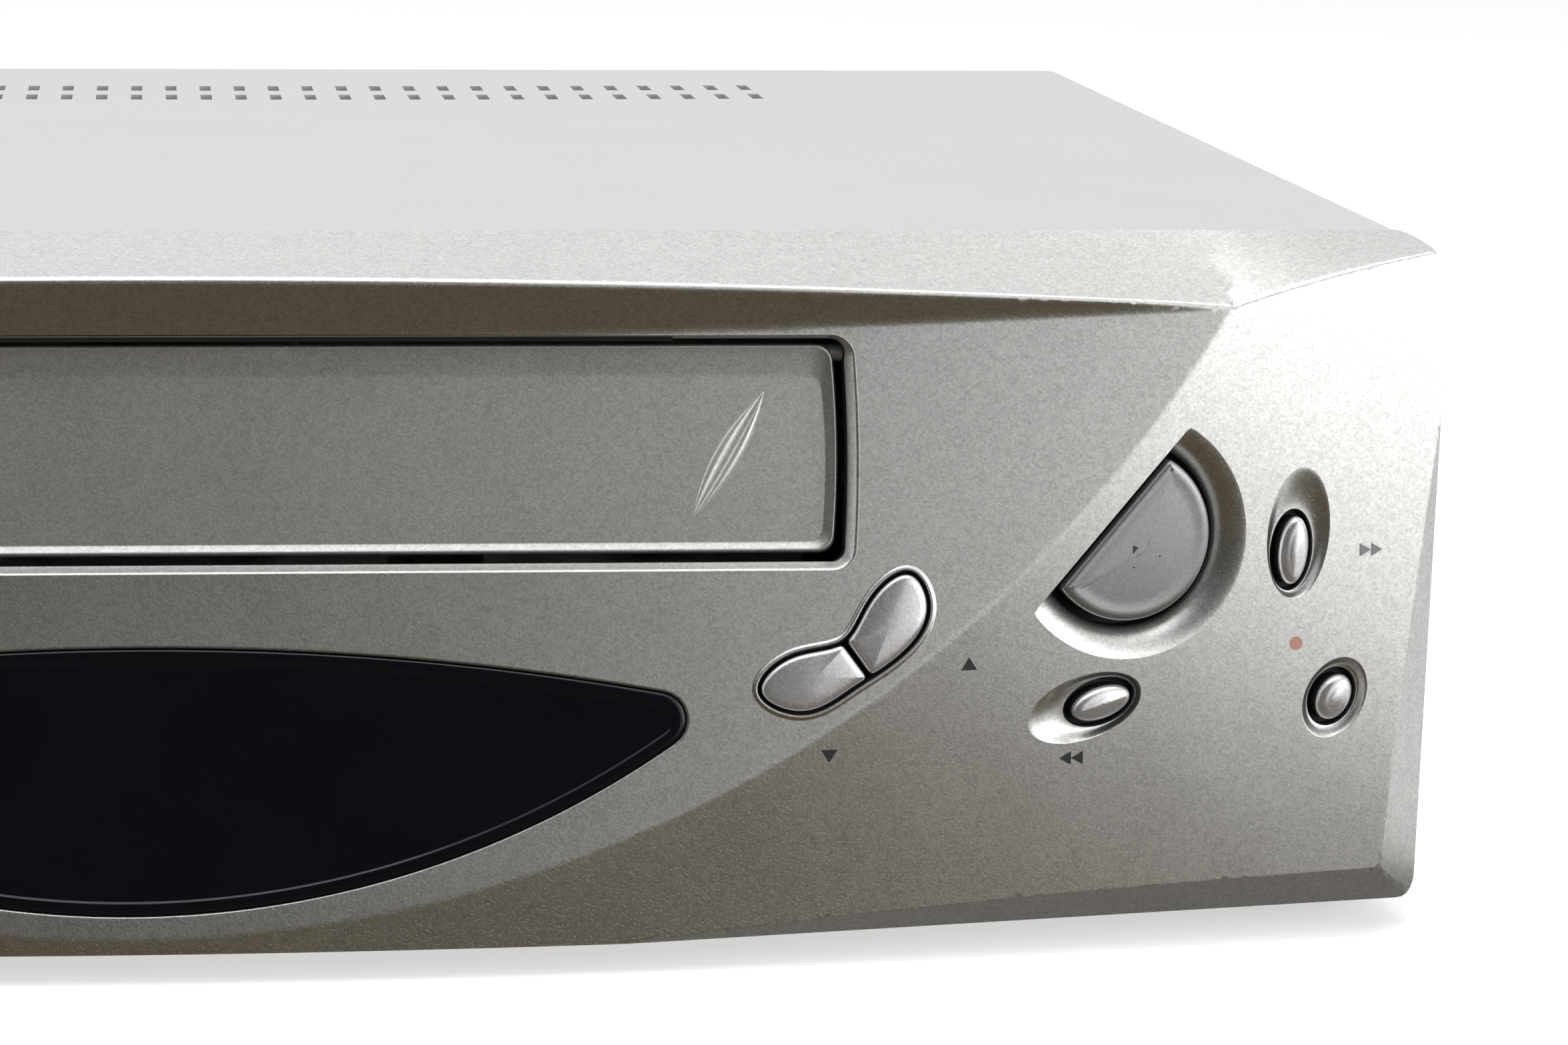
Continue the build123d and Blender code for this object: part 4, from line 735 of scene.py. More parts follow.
def flake_paint(name, tone, flake, metallic=0.95, roughness=0.32):
    """Metallic paint: two sizes of flake change colour and roughness, and the surface is faintly grained."""
    f = Finish(name)
    fine, coarse, cloud = f.cells(0.00028), f.cells(0.0006), f.noise(0.03, 3)
    mix = fine * 0.6 + coarse * 0.25 + cloud * 0.15
    base = f.mix(mix, tinted(tone, 1 - flake), tinted(tone, 1 + flake))
    rough = f.noise(0.012, 3) * 0.05 + (roughness - 0.025)
    grain = f.bump(fine * 0.7 + f.noise(0.0011, 2) * 0.3, 0.00002, 0.5)
    return f.close(Base_Color=base, Metallic=metallic, Roughness=rough, Normal=grain)


def satin_paint(name, tone, roughness=0.42):
    """Plain baked paint: very fine orange peel and slow changes of tone."""
    f = Finish(name)
    base = f.mix(f.noise(0.05, 4) * 0.7 + f.cells(0.0005) * 0.3, tinted(tone, 0.97), tinted(tone, 1.03))
    peel = f.bump(f.noise(0.0016, 2), 0.00003, 0.35)
    rough = f.noise(0.02, 3) * 0.06 + (roughness - 0.03)
    return f.close(Base_Color=base, Roughness=rough, Normal=peel)


def moulded_plastic(name, tone, roughness=0.5, grain=0.0006, depth=0.00004):
    """Moulded plastic: an eroded surface grain, small changes of tone and faint handling marks."""
    f = Finish(name)
    base = f.mix(f.noise(0.02, 4), tinted(tone, 0.9), tinted(tone, 1.1))
    skin = f.bump(f.noise(grain, 3, 0.6), depth, 0.5)
    rough = f.noise(0.008, 4) * 0.12 + (roughness - 0.06)
    return f.close(Base_Color=base, Roughness=rough, Normal=skin)


def brushed_metal(name, tone, roughness=0.32, stretch=(1, 30, 1)):
    """Rolled or ground metal: streaks along one axis in tone, roughness and height."""
    f = Finish(name)
    streak = f.noise(0.0004, 3, 0.6, stretch)
    base = f.mix(streak * 0.6 + f.noise(0.012, 3) * 0.4, tinted(tone, 0.85), tinted(tone, 1.12))
    return f.close(Base_Color=base, Metallic=1.0, Roughness=streak * 0.14 + (roughness - 0.07),
                   Normal=f.bump(streak, 0.00001, 0.4))


def zinc_sheet(name, tone):
    """Galvanised sheet: large crystal spangles over a fine grain."""
    f = Finish(name)
    spangle = f.cells(0.006)
    base = f.mix(spangle * 0.6 + f.noise(0.0008, 3) * 0.4, tinted(tone, 0.82), tinted(tone, 1.1))
    return f.close(Base_Color=base, Metallic=0.95, Roughness=spangle * 0.12 + 0.3,
                   Normal=f.bump(f.noise(0.0008, 2), 0.00001, 0.4))


def circuit_finish(name, tone):
    """A circuit board: lacquer over a grid of conductors with lighter pads."""
    f = Finish(name)
    lines = f.node("ShaderNodeMapping", {}, {"Vector": f.place, "Scale": [1 / 0.0025] * 3})
    brick = f.node("ShaderNodeTexBrick", {"offset": 0.37, "squash": 1.6, "squash_frequency": 3},
                   {"Vector": lines, "Color1": (1, 1, 1, 1), "Color2": (0.6, 0.6, 0.6, 1),
                    "Mortar": (0, 0, 0, 1), "Scale": 1.0, "Mortar Size": 0.09, "Brick Width": 3.4,
                    "Row Height": 0.7})
    track = f.red(brick)
    pads = f.cells(0.0026) > 0.86
    base = f.mix(track, tinted(tone, 0.55), tone)
    base = f.mix(pads * 0.8, base, (0.62, 0.6, 0.52))
    return f.close(Base_Color=base, Roughness=0.45 - track * 0.12, Metallic=pads * 0.6,
                   Normal=f.bump(track, 0.00004, 0.5))


def laminated_iron(name, tone):
    """Stacked laminations: thin bands across one axis with rusty flecks."""
    f = Finish(name)
    band = f.bands("Y", 320.0, 0.6, 2.0)
    base = f.mix(band * 0.5 + f.noise(0.003, 3) * 0.5, tinted(tone, 0.6), (0.3, 0.26, 0.22))
    return f.close(Base_Color=base, Metallic=0.7, Roughness=0.5, Normal=f.bump(band, 0.00008, 0.6))


def wound_wire(name, tone):
    """A winding under tape: close turns that show as bands."""
    f = Finish(name)
    band = f.bands("Z", 420.0, 0.4, 1.0)
    base = f.mix(band, tinted(tone, 0.7), tone)
    return f.close(Base_Color=base, Roughness=0.38, Normal=f.bump(band, 0.0001, 0.5))


def rubber(name, tone):
    """Rubber: dull, finely pitted and dusty in places."""
    f = Finish(name)
    dust = f.noise(0.006, 4) ** 3
    base = f.mix(dust, tone, (0.13, 0.125, 0.12))
    return f.close(Base_Color=base, Roughness=0.78, Normal=f.bump(f.noise(0.0007, 3), 0.00005, 0.5))


def gloss_black(name, tone):
    """Dark glossy plastic with a faint haze and hairline wear."""
    f = Finish(name)
    haze = f.noise(0.02, 4)
    base = f.mix(haze, tone, tinted(tone, 1.6))
    hair = f.noise(0.0006, 4, 0.7, (14, 1, 3)) ** 5
    return f.close(Base_Color=base, Roughness=haze * 0.05 + 0.07, Normal=f.bump(hair, 0.000004, 0.3),
                   Specular_IOR_Level=0.4)


def printed_ink(name, tone):
    """Pad-printed ink with slightly uneven cover."""
    f = Finish(name)
    base = f.mix(f.noise(0.0008, 3), tone, tinted(tone, 1.5))
    return f.close(Base_Color=base, Roughness=f.noise(0.0006, 2) * 0.1 + 0.4)


def smoked_glass(name):
    """Dark glass of the display tube with lit-off segments."""
    f = Finish(name)
    rows = f.cells(0.004) > 0.5
    base = f.mix(rows * 0.5, (0.012, 0.02, 0.02), (0.05, 0.075, 0.07))
    return f.close(Base_Color=base, Roughness=0.08, Metallic=rows * 0.2)


FINISHES = {}


def finishes(context):
    """The materials by the record's slots, made once."""
    if FINISHES:
        return FINISHES
    c = context.scene.recorder_finish
    FINISHES.update({
        "panel_silver": flake_paint("silver_flake_paint", c.silver, c.flake * 0.6),
        "cover_paint": satin_paint("cover_satin_paint", c.cover),
        "flap_grey": flake_paint("flap_flake_paint", c.flap, c.flake * 0.6, 0.85, 0.38),
        "window_black": gloss_black("window_plastic", c.window),
        "key_silver": flake_paint("small_key_paint", c.key, c.flake * 0.25, 0.8, 0.26),
        "key_grey": flake_paint("large_key_paint", c.play, c.flake * 0.3, 0.75, 0.3),
        "circuit_board": circuit_finish("board_lacquer", (0.10, 0.22, 0.09)),
        "switch_black": moulded_plastic("black_moulding", (0.022, 0.022, 0.025), 0.42),
        "display_glass": smoked_glass("tube_glass"),
        "tray_plastic": moulded_plastic("tray_moulding", (0.03, 0.03, 0.033), 0.6, 0.0009, 0.00008),
        "rubber_black": rubber("foot_rubber", (0.018, 0.018, 0.018)),
        "zinc_sheet": zinc_sheet("galvanised_sheet", (0.58, 0.59, 0.58)),
        "screw_steel": brushed_metal("screw_steel", (0.46, 0.46, 0.45), 0.34, (1, 1, 6)),
        "capacitor_sleeve": gloss_black("capacitor_sleeve", (0.02, 0.03, 0.07)),
        "cooler_aluminium": brushed_metal("cooler_aluminium", (0.62, 0.63, 0.64), 0.38, (1, 1, 24)),
        "core_iron": laminated_iron("core_laminations", (0.16, 0.15, 0.14)),
        "winding_yellow": wound_wire("winding_tape", (0.68, 0.52, 0.12)),
        "reel_plastic": moulded_plastic("reel_moulding", (0.7, 0.7, 0.67), 0.42),
        "guide_steel": brushed_metal("polished_guide", (0.72, 0.72, 0.72), 0.16, (1, 1, 10)),
        "accent_silver": flake_paint("accent_paint", tinted(c.silver, 1.25), c.flake * 0.4, 0.75, 0.34),
        # inner moulding near black: partly its own dark plastic, partly painted shade for gaps, walls,
        # flanges and the shell's inside
        "inner_black": moulded_plastic("inner_moulding", (0.012, 0.012, 0.012), 0.6),
        "mark_dark": printed_ink("mark_ink", c.mark),
        "mark_grey": printed_ink("mark_grey", (0.2, 0.2, 0.2)),
        "mark_red": printed_ink("mark_red", c.record),
    })
    return FINISHES


# ---- front panel --------------------------------------------------------------------------------------
def sizes(context):
    """The front, and the sizes of the flap, the window and the keys in millimetres."""
    scene = context.scene
    groups = (scene.recorder_front, scene.recorder_flap, scene.recorder_window, scene.recorder_keys)
    panel, flap, window, keys = (millimetres(group) for group in groups)
    return Front(panel), flap, window, keys


OVAL_KEYS = {
    "fast_forward": dict(x=158.4, u=56.9, half=(2.15, 4.7), tilt=-6, shift=(0.6, 2.4), dimple=(4.6, 9.1)),
    "rewind": dict(x=131.1, u=36.3, half=(4.3, 2.2), tilt=17, shift=(-2.4, -0.5), dimple=(8.4, 4.4)),
    "record": dict(x=164.7, u=36.7, half=(3.3, 2.4), tilt=60, shift=(0, 0), dimple=(5.9, 4.4)),
}
TWINS = {"fast_forward": "pause", "rewind": "eject", "record": "power"}
GAP_POINTS = [(83.4, 38.3), (88.6, 35.2), (96.5, 38.4), (103.6, 43.3), (107, 50.2), (104.6, 54.4),
              (98.6, 50.8), (95.1, 45.4), (87.5, 43.2)]
WAIST = ((95.2, 44.9), (98.6, 40.2))
PETAL_GAP = 0.5
WAIST_GAP = 0.52


def play_heading(front, k):
    """Direction from the play key towards the ridge's centre, on its seat."""
    return pi - atan((front.s.ridge_centre - k.play_u) / k.play_x)


BOWL_ROWS = 15
BOWL_SHARE = 0.86
DISH_ROWS = 17


def dimple_rows(front, k, key):
    """An oval bowl: rows from its rim to the key's opening, with the depth as a smooth share of the way."""
    placed = front.place(key["x"], key["u"])
    c, s = cos(radians(key["tilt"])), sin(radians(key["tilt"]))
    turn = np.array([[c, s], [-s, c]])
    rim = oval_loop(*key["dimple"]) @ turn + key["shift"]
    hole = oval_loop(key["half"][0] + k.oval_gap, key["half"][1] + k.oval_gap) @ turn
    steps = np.linspace(0, 1, BOWL_ROWS)
    rows = rim * (1 - steps[:, None, None]) + hole * steps[:, None, None]
    fall = np.sin(steps * pi / 2) ** 1.35
    depth = -(k.dimple_depth * BOWL_SHARE * fall)[:, None] * np.ones(len(rim))
    return placed, rows, depth


def dish_rows(front, k):
    """The dish of the play key: rows from its rim to the opening, deeper with the square of the way."""
    placed = front.place(k.play_x, k.play_u)
    heading = play_heading(front, k)
    rim = d_loop(k.play_dish, k.play_hole_chord + 0.15, heading, 0.5)
    hole = d_loop(k.play_hole, k.play_hole_chord, heading, 0.5)
    steps = np.linspace(0, 1, DISH_ROWS)
    rows = rim * (1 - steps[:, None, None]) + hole * steps[:, None, None]
    depth = -(k.dish_depth * (0.35 * steps + 0.65 * steps**2))[:, None] * np.ones(len(rim))
    return placed, rows, depth


def settle(front, points):
    """The same points moved along the pull onto the front surface."""
    step = front.step_of(points)
    return front.point(step[..., 0], step[..., 1])


def flip_x(points):
    """Points on the other side of the middle."""
    return points * np.array([-1.0, 1.0, 1.0])


def openings(shape, front, f, w, k):
    """Adds the rims, walls, dish and dimples of all openings to the panel, and gives their outer outlines."""
    # rows deep in each opening take the second tone, the near-black moulding that also stands as painted
    # shade there
    flat = front.on_face
    loops = []
    # aperture with its sloping bezel
    rim = aperture_loop(f, f.corner + 0.25, -0.25)
    bezel = [(0, 0), (0.12, 0.02), (0.26, 0.0), (0.42, -0.09), (0.56, -0.22), (1.25, -1.02), (1.42, -1.3),
             (1.48, -1.6), (1.5, -4.4)]
    rows = rings(rim, bezel, flat, 0.3)
    shape.grid(rows[:8])
    shape.grid(rows[7:], tone=1)
    loops.append(rows[0])
    # window opening
    rim = window_loop(w, 0.55)
    edge = [(0, 0), (0.12, -0.02), (0.24, -0.08), (0.34, -0.2), (0.4, -0.4), (0.4, -3.0)]
    rows = rings(rim, edge, flat)
    shape.grid(rows[:5])
    shape.grid(rows[4:], tone=1)
    loops.append(rows[0])
    # common opening of the two channel keys, with a raised lip
    rim = even_loop(smooth_loop(GAP_POINTS, 400), 150)
    lip = [(-0.75, 0), (-0.6, 0.05), (-0.42, 0.18), (-0.26, 0.24), (-0.1, 0.2), (0.0, 0.06), (0.05, -0.2),
           (0.05, -3.2)]
    rows = rings(rim, lip, flat)
    shape.grid(rows[:7])
    shape.grid(rows[6:], tone=1)
    loops.append(rows[0])
    # dish and dimples, each on both sides
    features = [dish_rows(front, k)] + [dimple_rows(front, k, key) for key in OVAL_KEYS.values()]
    for placed, loop_rows, depth in features:
        base = settle(front, placed(loop_rows[..., 0], loop_rows[..., 1], 0.0))
        out = placed(0, 0, 1) - placed(0, 0, 0)
        rows = base + depth[..., None] * out
        wall = rings(loop_rows[-1], [(0, 0), (0.05, -0.12), (0.18, -0.3), (0.2, -3.0)],
                     lambda a, b, c: placed(a, b, c + depth[-1, 0]))
        wall += rows[-1] - wall[0]
        for part, tone in ((np.concatenate([rows, wall[1:3]]), 0), (wall[2:], 1)):
            shape.grid(part, tone=tone)
            shape.grid(flip_x(part), flip=True, tone=tone)
        loops += [rows[0], flip_x(rows[0])[::-1]]
    return loops


def panel_border(shape, front):
    """Adds the panel's sides back to the seam, and gives the front's outline as (x, q)."""
    s = front.s
    outline = rounded_loop(
        [(-s.half_width_bottom, s.foot_height), (s.half_width_bottom, s.foot_height),
         (s.half_width_top, s.height), (-s.half_width_top, s.height)],
        [s.corner_bottom, s.corner_bottom, s.corner_top, s.corner_top], 2.0)
    x, z = outline[:, 0], outline[:, 1]

    def over(q):
        return front.point(x, q)[:, 2] > z

    border = np.stack([x, crossing(-30, 110, len(x), over)], axis=1)
    edge = front.point(border[:, 0], border[:, 1])
    back = edge.copy()
    back[:, 1] = np.where(edge[:, 1] < -0.05, 0.0, edge[:, 1])
    side_rows = np.stack([edge + (back - edge) * part for part in (0, 0.02, 1)])
    shape.grid(side_rows, flip=True)

    return border


ROW_STEP = 1.4
RIDGE_STEP = 0.42
FIELD_STEP_X, FIELD_STEP_Q = 3.1, 2.7
POINT_CELL = 0.17
EDGE_CELL = 0.5


def beside(x, q, gaps):
    """Rows of points on a crease and at each gap to both sides of it."""
    return [np.stack([x, q + side * gap], axis=1) for gap in gaps for side in (1, -1)]


def crease_points(front):
    """Points of the front as (x, q): rows close to each crease, and a sparse field for the rest."""
    s = front.s
    x_row = np.arange(-179, 179.1, ROW_STEP)
    far = np.abs(x_row)

    def roof_wins(q):
        return front.roof(far, q) < front.front(far, q)

    crease = beside(x_row, crossing(55, 87.8, len(x_row), roof_wins), (0, 0.3, 0.6, 0.95, 1.4, 2.2))
    x_brow = x_row[far < s.brow_half - 1]

    def brow_wins(q):
        face = front.plane(x_brow, q, front.out, front.out @ front.foot)
        return front.brow(x_brow, q) > face

    crease += beside(x_brow, crossing(50, 80, len(x_brow), brow_wins), (0, 0.35, 0.8, 1.6))
    angle = np.radians(np.arange(-150, -30, RIDGE_STEP))
    for gap in (0, 0.2, -0.2, 0.45, -0.45, 0.8, -0.8, 1.8, -1.8):
        run = s.ridge_radius + gap
        x, u = run * np.cos(angle), s.ridge_centre + run * np.sin(angle)
        crease.append(front.step_of(front.on_face(x, u, -front.drop(x, u))))
    side_bevel, low_bevel = front.bevels
    q_row = np.arange(0.0, 72.0, ROW_STEP)

    def side_bevel_wins(x):
        return front.plane(x, q_row, *side_bevel) < front.front(x, q_row)

    x_side = crossing(150, 181, len(q_row), side_bevel_wins)
    for gap in (0, 0.25, -0.25, 0.6, -0.6, 1.4, -1.4):
        crease += [np.stack([side * (x_side + gap), q_row], axis=1) for side in (1, -1)]

    def low_bevel_loses(q):
        return front.plane(far, q, *low_bevel) > front.front(far, q)

    crease += beside(x_row, crossing(-20, 8, len(x_row), low_bevel_loses), (0, 0.2, 0.5, 1.2))
    field_x, field_q = np.meshgrid(np.arange(-178, 178.1, FIELD_STEP_X), np.arange(-10, 90, FIELD_STEP_Q))
    field_x[::2] += FIELD_STEP_X / 2
    field = np.stack([field_x.ravel(), field_q.ravel()], axis=1)
    return spread([*crease, field], POINT_CELL)


def front_surface(front, f, w, k):
    """The panel's front: the openings, the sides and, between their outlines, triangles on the height."""
    shape = Shape()
    holes = [front.step_of(loop) for loop in openings(shape, front, f, w, k)]
    border = panel_border(shape, front)
    fixed = [border] + holes
    free = crease_points(front)
    free = free[inside(free, border)]
    for hole in holes:
        free = free[~inside(free, hole)]
    solid = np.vstack(fixed)
    near = {tuple(cell) for cell in np.round(solid / EDGE_CELL).astype(int).tolist()}
    cells = np.round(free / EDGE_CELL).astype(int).tolist()
    free = free[[tuple(cell) not in near for cell in cells]]
    everything = np.vstack([solid, free])
    edges, first = [], 0
    for loop in fixed:
        number = np.arange(len(loop))
        edges.append(np.stack([number, (number + 1) % len(loop)], axis=1) + first)
        first += len(loop)
    made = delaunay_2d_cdt([Vector(p) for p in everything], np.vstack(edges).tolist(), [], 0, 1e-5, False)
    flat_points = np.array([tuple(p) for p in made[0]])
    triangles = np.array([t for t in made[2] if len(t) == 3])
    middle = flat_points[triangles].mean(axis=1)
    keep = inside(middle, border)
    for hole in holes:
        keep &= ~inside(middle, hole)
    triangles = triangles[keep]
    a, b, c = (flat_points[triangles[:, i]] for i in range(3))
    area = (b[:, 0] - a[:, 0]) * (c[:, 1] - a[:, 1]) - (b[:, 1] - a[:, 1]) * (c[:, 0] - a[:, 0])
    triangles = np.where(area[:, None] > 0, triangles, triangles[:, ::-1])
    triangles = triangles[np.abs(area) > 1e-7]
    shape.facets(front.point(flat_points[:, 0], flat_points[:, 1]), triangles)
    return shape


def thickened(shape, thickness):
    """A closed shell: the merged surface, a copy moved in along its normals and bands along free edges."""
    points, where = shape.merged()
    parts, marks = [], []
    for faces, tones in shape.faces:
        for corner in range(1, faces.shape[1] - 1):
            parts.append(where[faces[:, [0, corner, corner + 1]]])
            marks.append(tones)
    triangles, tones = np.vstack(parts), np.concatenate(marks)
    after = np.roll(triangles, -1, axis=1)
    real = (triangles != after).all(axis=1)
    triangles, tones = triangles[real], tones[real]
    used = np.unique(triangles)
    renumber = np.zeros(len(points), int)
    renumber[used] = np.arange(len(used))
    points, triangles = points[used], renumber[triangles]
    a, b, c = (points[triangles[:, corner]] for corner in range(3))
    cross = np.cross(b - a, c - a)
    normal = np.zeros_like(points)
    for corner in range(3):
        np.add.at(normal, triangles[:, corner], cross)
    normal /= np.maximum(np.linalg.norm(normal, axis=1, keepdims=True), 1e-12)
    inner = points - normal * thickness
    inner[:, 1] = np.where(points[:, 1] > -0.01, points[:, 1], np.minimum(inner[:, 1], -0.01))
    number = len(points)
    pairs = np.vstack([triangles[:, [0, 1]], triangles[:, [1, 2]], triangles[:, [2, 0]]])
    code = np.sort(pairs, axis=1) @ [number, 1]
    _, first, count = np.unique(code, return_index=True, return_counts=True)
    free = pairs[first[count == 1]]
    closed = Shape()
    closed.add(np.vstack([points, inner]))
    closed.faces.append((triangles, tones))
    # inside of the shell and its cut edges in the near-black moulding: painted shade where they show through
    # gaps
    closed.keep(triangles + number, True, 1)
    closed.keep(np.stack([free[:, 1], free[:, 0], free[:, 0] + number], axis=1), False, 1)
    closed.keep(np.stack([free[:, 1], free[:, 0] + number, free[:, 1] + number], axis=1), False, 1)
    return closed


def set_front_normals(mesh, front):
    """Gives the faces of the smooth front the exact normals of its height function."""
    count = len(mesh.vertices)
    co = np.zeros(count * 3)
    mesh.vertices.foreach_get("co", co)
    points = (co.reshape(-1, 3) - [0, SEAM_Y, 0]) * 1000
    step = front.step_of(points)
    on_front = np.linalg.norm(front.point(step[:, 0], step[:, 1]) - points, axis=1) < 0.003
    normals = front.normal(step[:, 0], step[:, 1])
    loop_vertex = np.zeros(len(mesh.loops), np.int32)
    mesh.loops.foreach_get("vertex_index", loop_vertex)
    sizes = np.zeros(len(mesh.polygons), np.int32)
    mesh.polygons.foreach_get("loop_total", sizes)
    face_normal = np.zeros(len(mesh.polygons) * 3)
    mesh.polygons.foreach_get("normal", face_normal)
    owner = np.repeat(np.arange(len(mesh.polygons)), sizes)
    agree = np.einsum("ij,ij->i", face_normal.reshape(-1, 3)[owner], normals[loop_vertex]) > 0.8
    starts = np.concatenate([[0], np.cumsum(sizes)[:-1]])
    whole = np.minimum.reduceat((on_front[loop_vertex] & agree).astype(int), starts)[owner] > 0
    chosen = np.where(whole[:, None], normals[loop_vertex], 0.0)
    mesh.normals_split_custom_set(chosen.tolist())


class RECORDER_OT_front_panel(bpy.types.Operator):
    """Makes the moulded front panel with its brow, ridge, aperture, dishes and openings"""
    bl_idname = "recorder.front_panel"
    bl_label = "Front panel"

    def execute(self, context):
        front, f, w, k = sizes(context)
        mesh = thickened(front_surface(front, f, w, k), front.s.shell).mesh("front_panel_shell", sharp=40)
        set_front_normals(mesh, front)
        finish_piece("front_panel_shell", mesh, "case", "panel_silver", finishes(context), "front_panel")
        return {"FINISHED"}


# ---- flap ---------------------------------------------------------------------------------------------
ACCENT_X = 80.1
ACCENT_U = 70.3
ACCENT_TURN = radians(-30)
PIN_RADIUS = 1.2
PIN_REACH = 5.0


def shrunk(loop, side, low, high):
    """An outline made smaller by a margin at its sides, foot and top, each point moved in proportion."""
    left, right = loop[:, 0].min(), loop[:, 0].max()
    foot, top = loop[:, 1].min(), loop[:, 1].max()
    x = loop[:, 0] * (1 - 2 * side / (right - left))
    u = foot + low + (loop[:, 1] - foot) * (top - foot - low - high) / (top - foot)
    return np.stack([x, u], axis=1)


def rod(shape, start, end, radius, count=24):
    """A round bar between two points: circles carried along its axis, closed at both ends."""
    start, end = np.asarray(start, float), np.asarray(end, float)
    axis = (end - start) / np.linalg.norm(end - start)
    side = np.cross(axis, [0, 0, 1.0] if abs(axis[2]) < 0.9 else [1.0, 0, 0])
    side /= np.linalg.norm(side)
    rise = np.cross(axis, side)
    angle = np.linspace(0, 2 * pi, count, endpoint=False)
    ring = np.cos(angle)[:, None] * side + np.sin(angle)[:, None] * rise
    rows = [start + ring * radius * 0.9, start + axis * 0.15 + ring * radius,
            end - axis * 0.15 + ring * radius, end + ring * radius * 0.9]
    shape.grid(np.stack(rows))
    shape.fan(rows[-1])
    shape.fan(rows[0], flip=True)


class RECORDER_OT_cassette_flap(bpy.types.Operator):
    """Makes the cassette flap with its sloping edges, its hinge pins and the slim raised accents"""
    bl_idname = "recorder.cassette_flap"
    bl_label = "Cassette flap"

    def execute(self, context):
        front, f, _, _ = sizes(context)
        shape = Shape()
        placed = front.on_face
        loop = aperture_loop(f, f.corner - 0.8, 0, f.margin_low, f.margin_high, f.margin_side)
        rise = f.edge_rise
        rows = [placed(*loop.T, -f.setback - f.thickness), placed(*loop.T, -f.setback - 0.3)]
        for inset, depth in ((0.05, 0.1), (0.15, 0.65), (0.3, 0.95), (0.45, 1.0), (0.6, 0.93)):
            rows.append(placed(*shrunk(loop, inset, inset, inset).T, rise * depth - f.setback))
        for part, depth in ((0.3, 0.62), (0.65, 0.3), (0.9, 0.06), (1.0, 0.0), (1.08, 0.0)):
            side = 0.6 + (f.edge_width - 0.6) * part
            high = 0.6 + (f.top_width - 0.6) * part
            rows.append(placed(*shrunk(loop, side, side * 0.9, high).T, rise * depth - f.setback))
        for part in (0.1, 0.3, 0.6, 0.9):
            side = (f.half - f.edge_width) * part + f.edge_width * 1.1
            tall = (f.high - f.low) / 2 - f.top_width
            low, high = side * 0.05 + tall * part, f.top_width + tall * part * 0.8
            rows.append(placed(*shrunk(loop, side, low, high).T, -f.setback))
        shape.grid(np.stack(rows))
        shape.fan(rows[-1])
        shape.fan(rows[0], flip=True)
        pin_u = f.high - f.margin_high - PIN_RADIUS
        pin_w = -f.setback - f.thickness / 2
        for side in (-1, 1):
            start = placed(side * (f.half - f.margin_side - 2), pin_u, pin_w)
            end = placed(side * (f.half + f.bulge + PIN_REACH), pin_u, pin_w)
            rod(shape, start, end, PIN_RADIUS)
        mesh = shape.mesh("cassette_flap_plate", sharp=50)
        finish_piece("cassette_flap_plate", mesh, "flap", "flap_grey", finishes(context), "cassette_flap")
        accent = Shape()
        for side in (-1, 1):
            for first, last, high in ((-1.0, -0.12, 0.35), (0.06, 1.0, 0.5)):
                self.sliver(accent, placed, f, side, first, last, high)
        mesh = accent.mesh("flap_accent", sharp=60)
        finish_piece("flap_accent", mesh, "flap", "panel_silver", finishes(context)["accent_silver"])
        return {"FINISHED"}

    def sliver(self, shape, placed, f, side, first, last, high):
        """One side of the lens: along it a parabola sets the width, across it the height is a low arch."""
        along, across = np.meshgrid(np.linspace(-1, 1, 41), np.linspace(0, 1, 9), indexing="ij")
        half = f.accent_width / 2 * (1 - along**2)
        a = half * (first + (last - first) * across)
        b = f.accent_length * along
        depth = high * (1 - along**2) ** 0.5 * np.sin(pi * across) ** 0.7
        x = ACCENT_X + a * cos(ACCENT_TURN) - b * sin(ACCENT_TURN)
        u = ACCENT_U + a * sin(ACCENT_TURN) + b * cos(ACCENT_TURN)
        top = placed(side * x, u, -f.setback + 0.01 + depth)
        low = placed(side * x, u, -f.setback - 0.05 + depth * 0)
        shape.grid(top, closed=False, flip=side > 0)
        shape.grid(low, closed=False, flip=side < 0)
        for rows in (top[:, 0], low[:, 0]), (low[:, -1], top[:, -1]):
            shape.grid(np.stack(rows, axis=1), closed=False, flip=side > 0)


# ---- window -------------------------------------------------------------------------------------------
class RECORDER_OT_display_window(bpy.types.Operator):
    """Makes the dark display window with its stepped rim"""
    bl_idname = "recorder.display_window"
    bl_label = "Display window"

    def execute(self, context):
        front, _, w, _ = sizes(context)
        placed = front.on_face
        shape = Shape()
        loop = window_loop(w)
        profile = [(-1.6, -4.0), (-1.6, -2.6), (0, -2.6), (0, -0.1), (0.06, 0.08), (0.2, 0.2), (0.4, 0.24),
                   (1.35, 0.24), (1.5, 0.2), (1.7, 0.02), (1.85, -0.02), (2.6, 0.0)]
        rows = rings(loop, profile, placed)
        shape.grid(rows)
        middle = loop.mean(axis=0)
        inner = loop - outward(loop) * 2.6
        tail = [placed(*(middle + (inner - middle) * part).T, 0.0) for part in (1.0, 0.9, 0.7, 0.4, 0.15)]
        shape.grid(np.stack(tail))
        shape.fan(tail[-1])
        shape.fan(rows[0], flip=True)
        mesh = shape.mesh("display_window_plate", sharp=45)
        paints = finishes(context)
        finish_piece("display_window_plate", mesh, "case", "window_black", paints, "display_window")
        return {"FINISHED"}


# ---- keys ---------------------------------------------------------------------------------------------
STEM_RADIUS = 2.0
FLANGE_THICKNESS = 1.2
FLANGE_CLEARANCE = 0.3


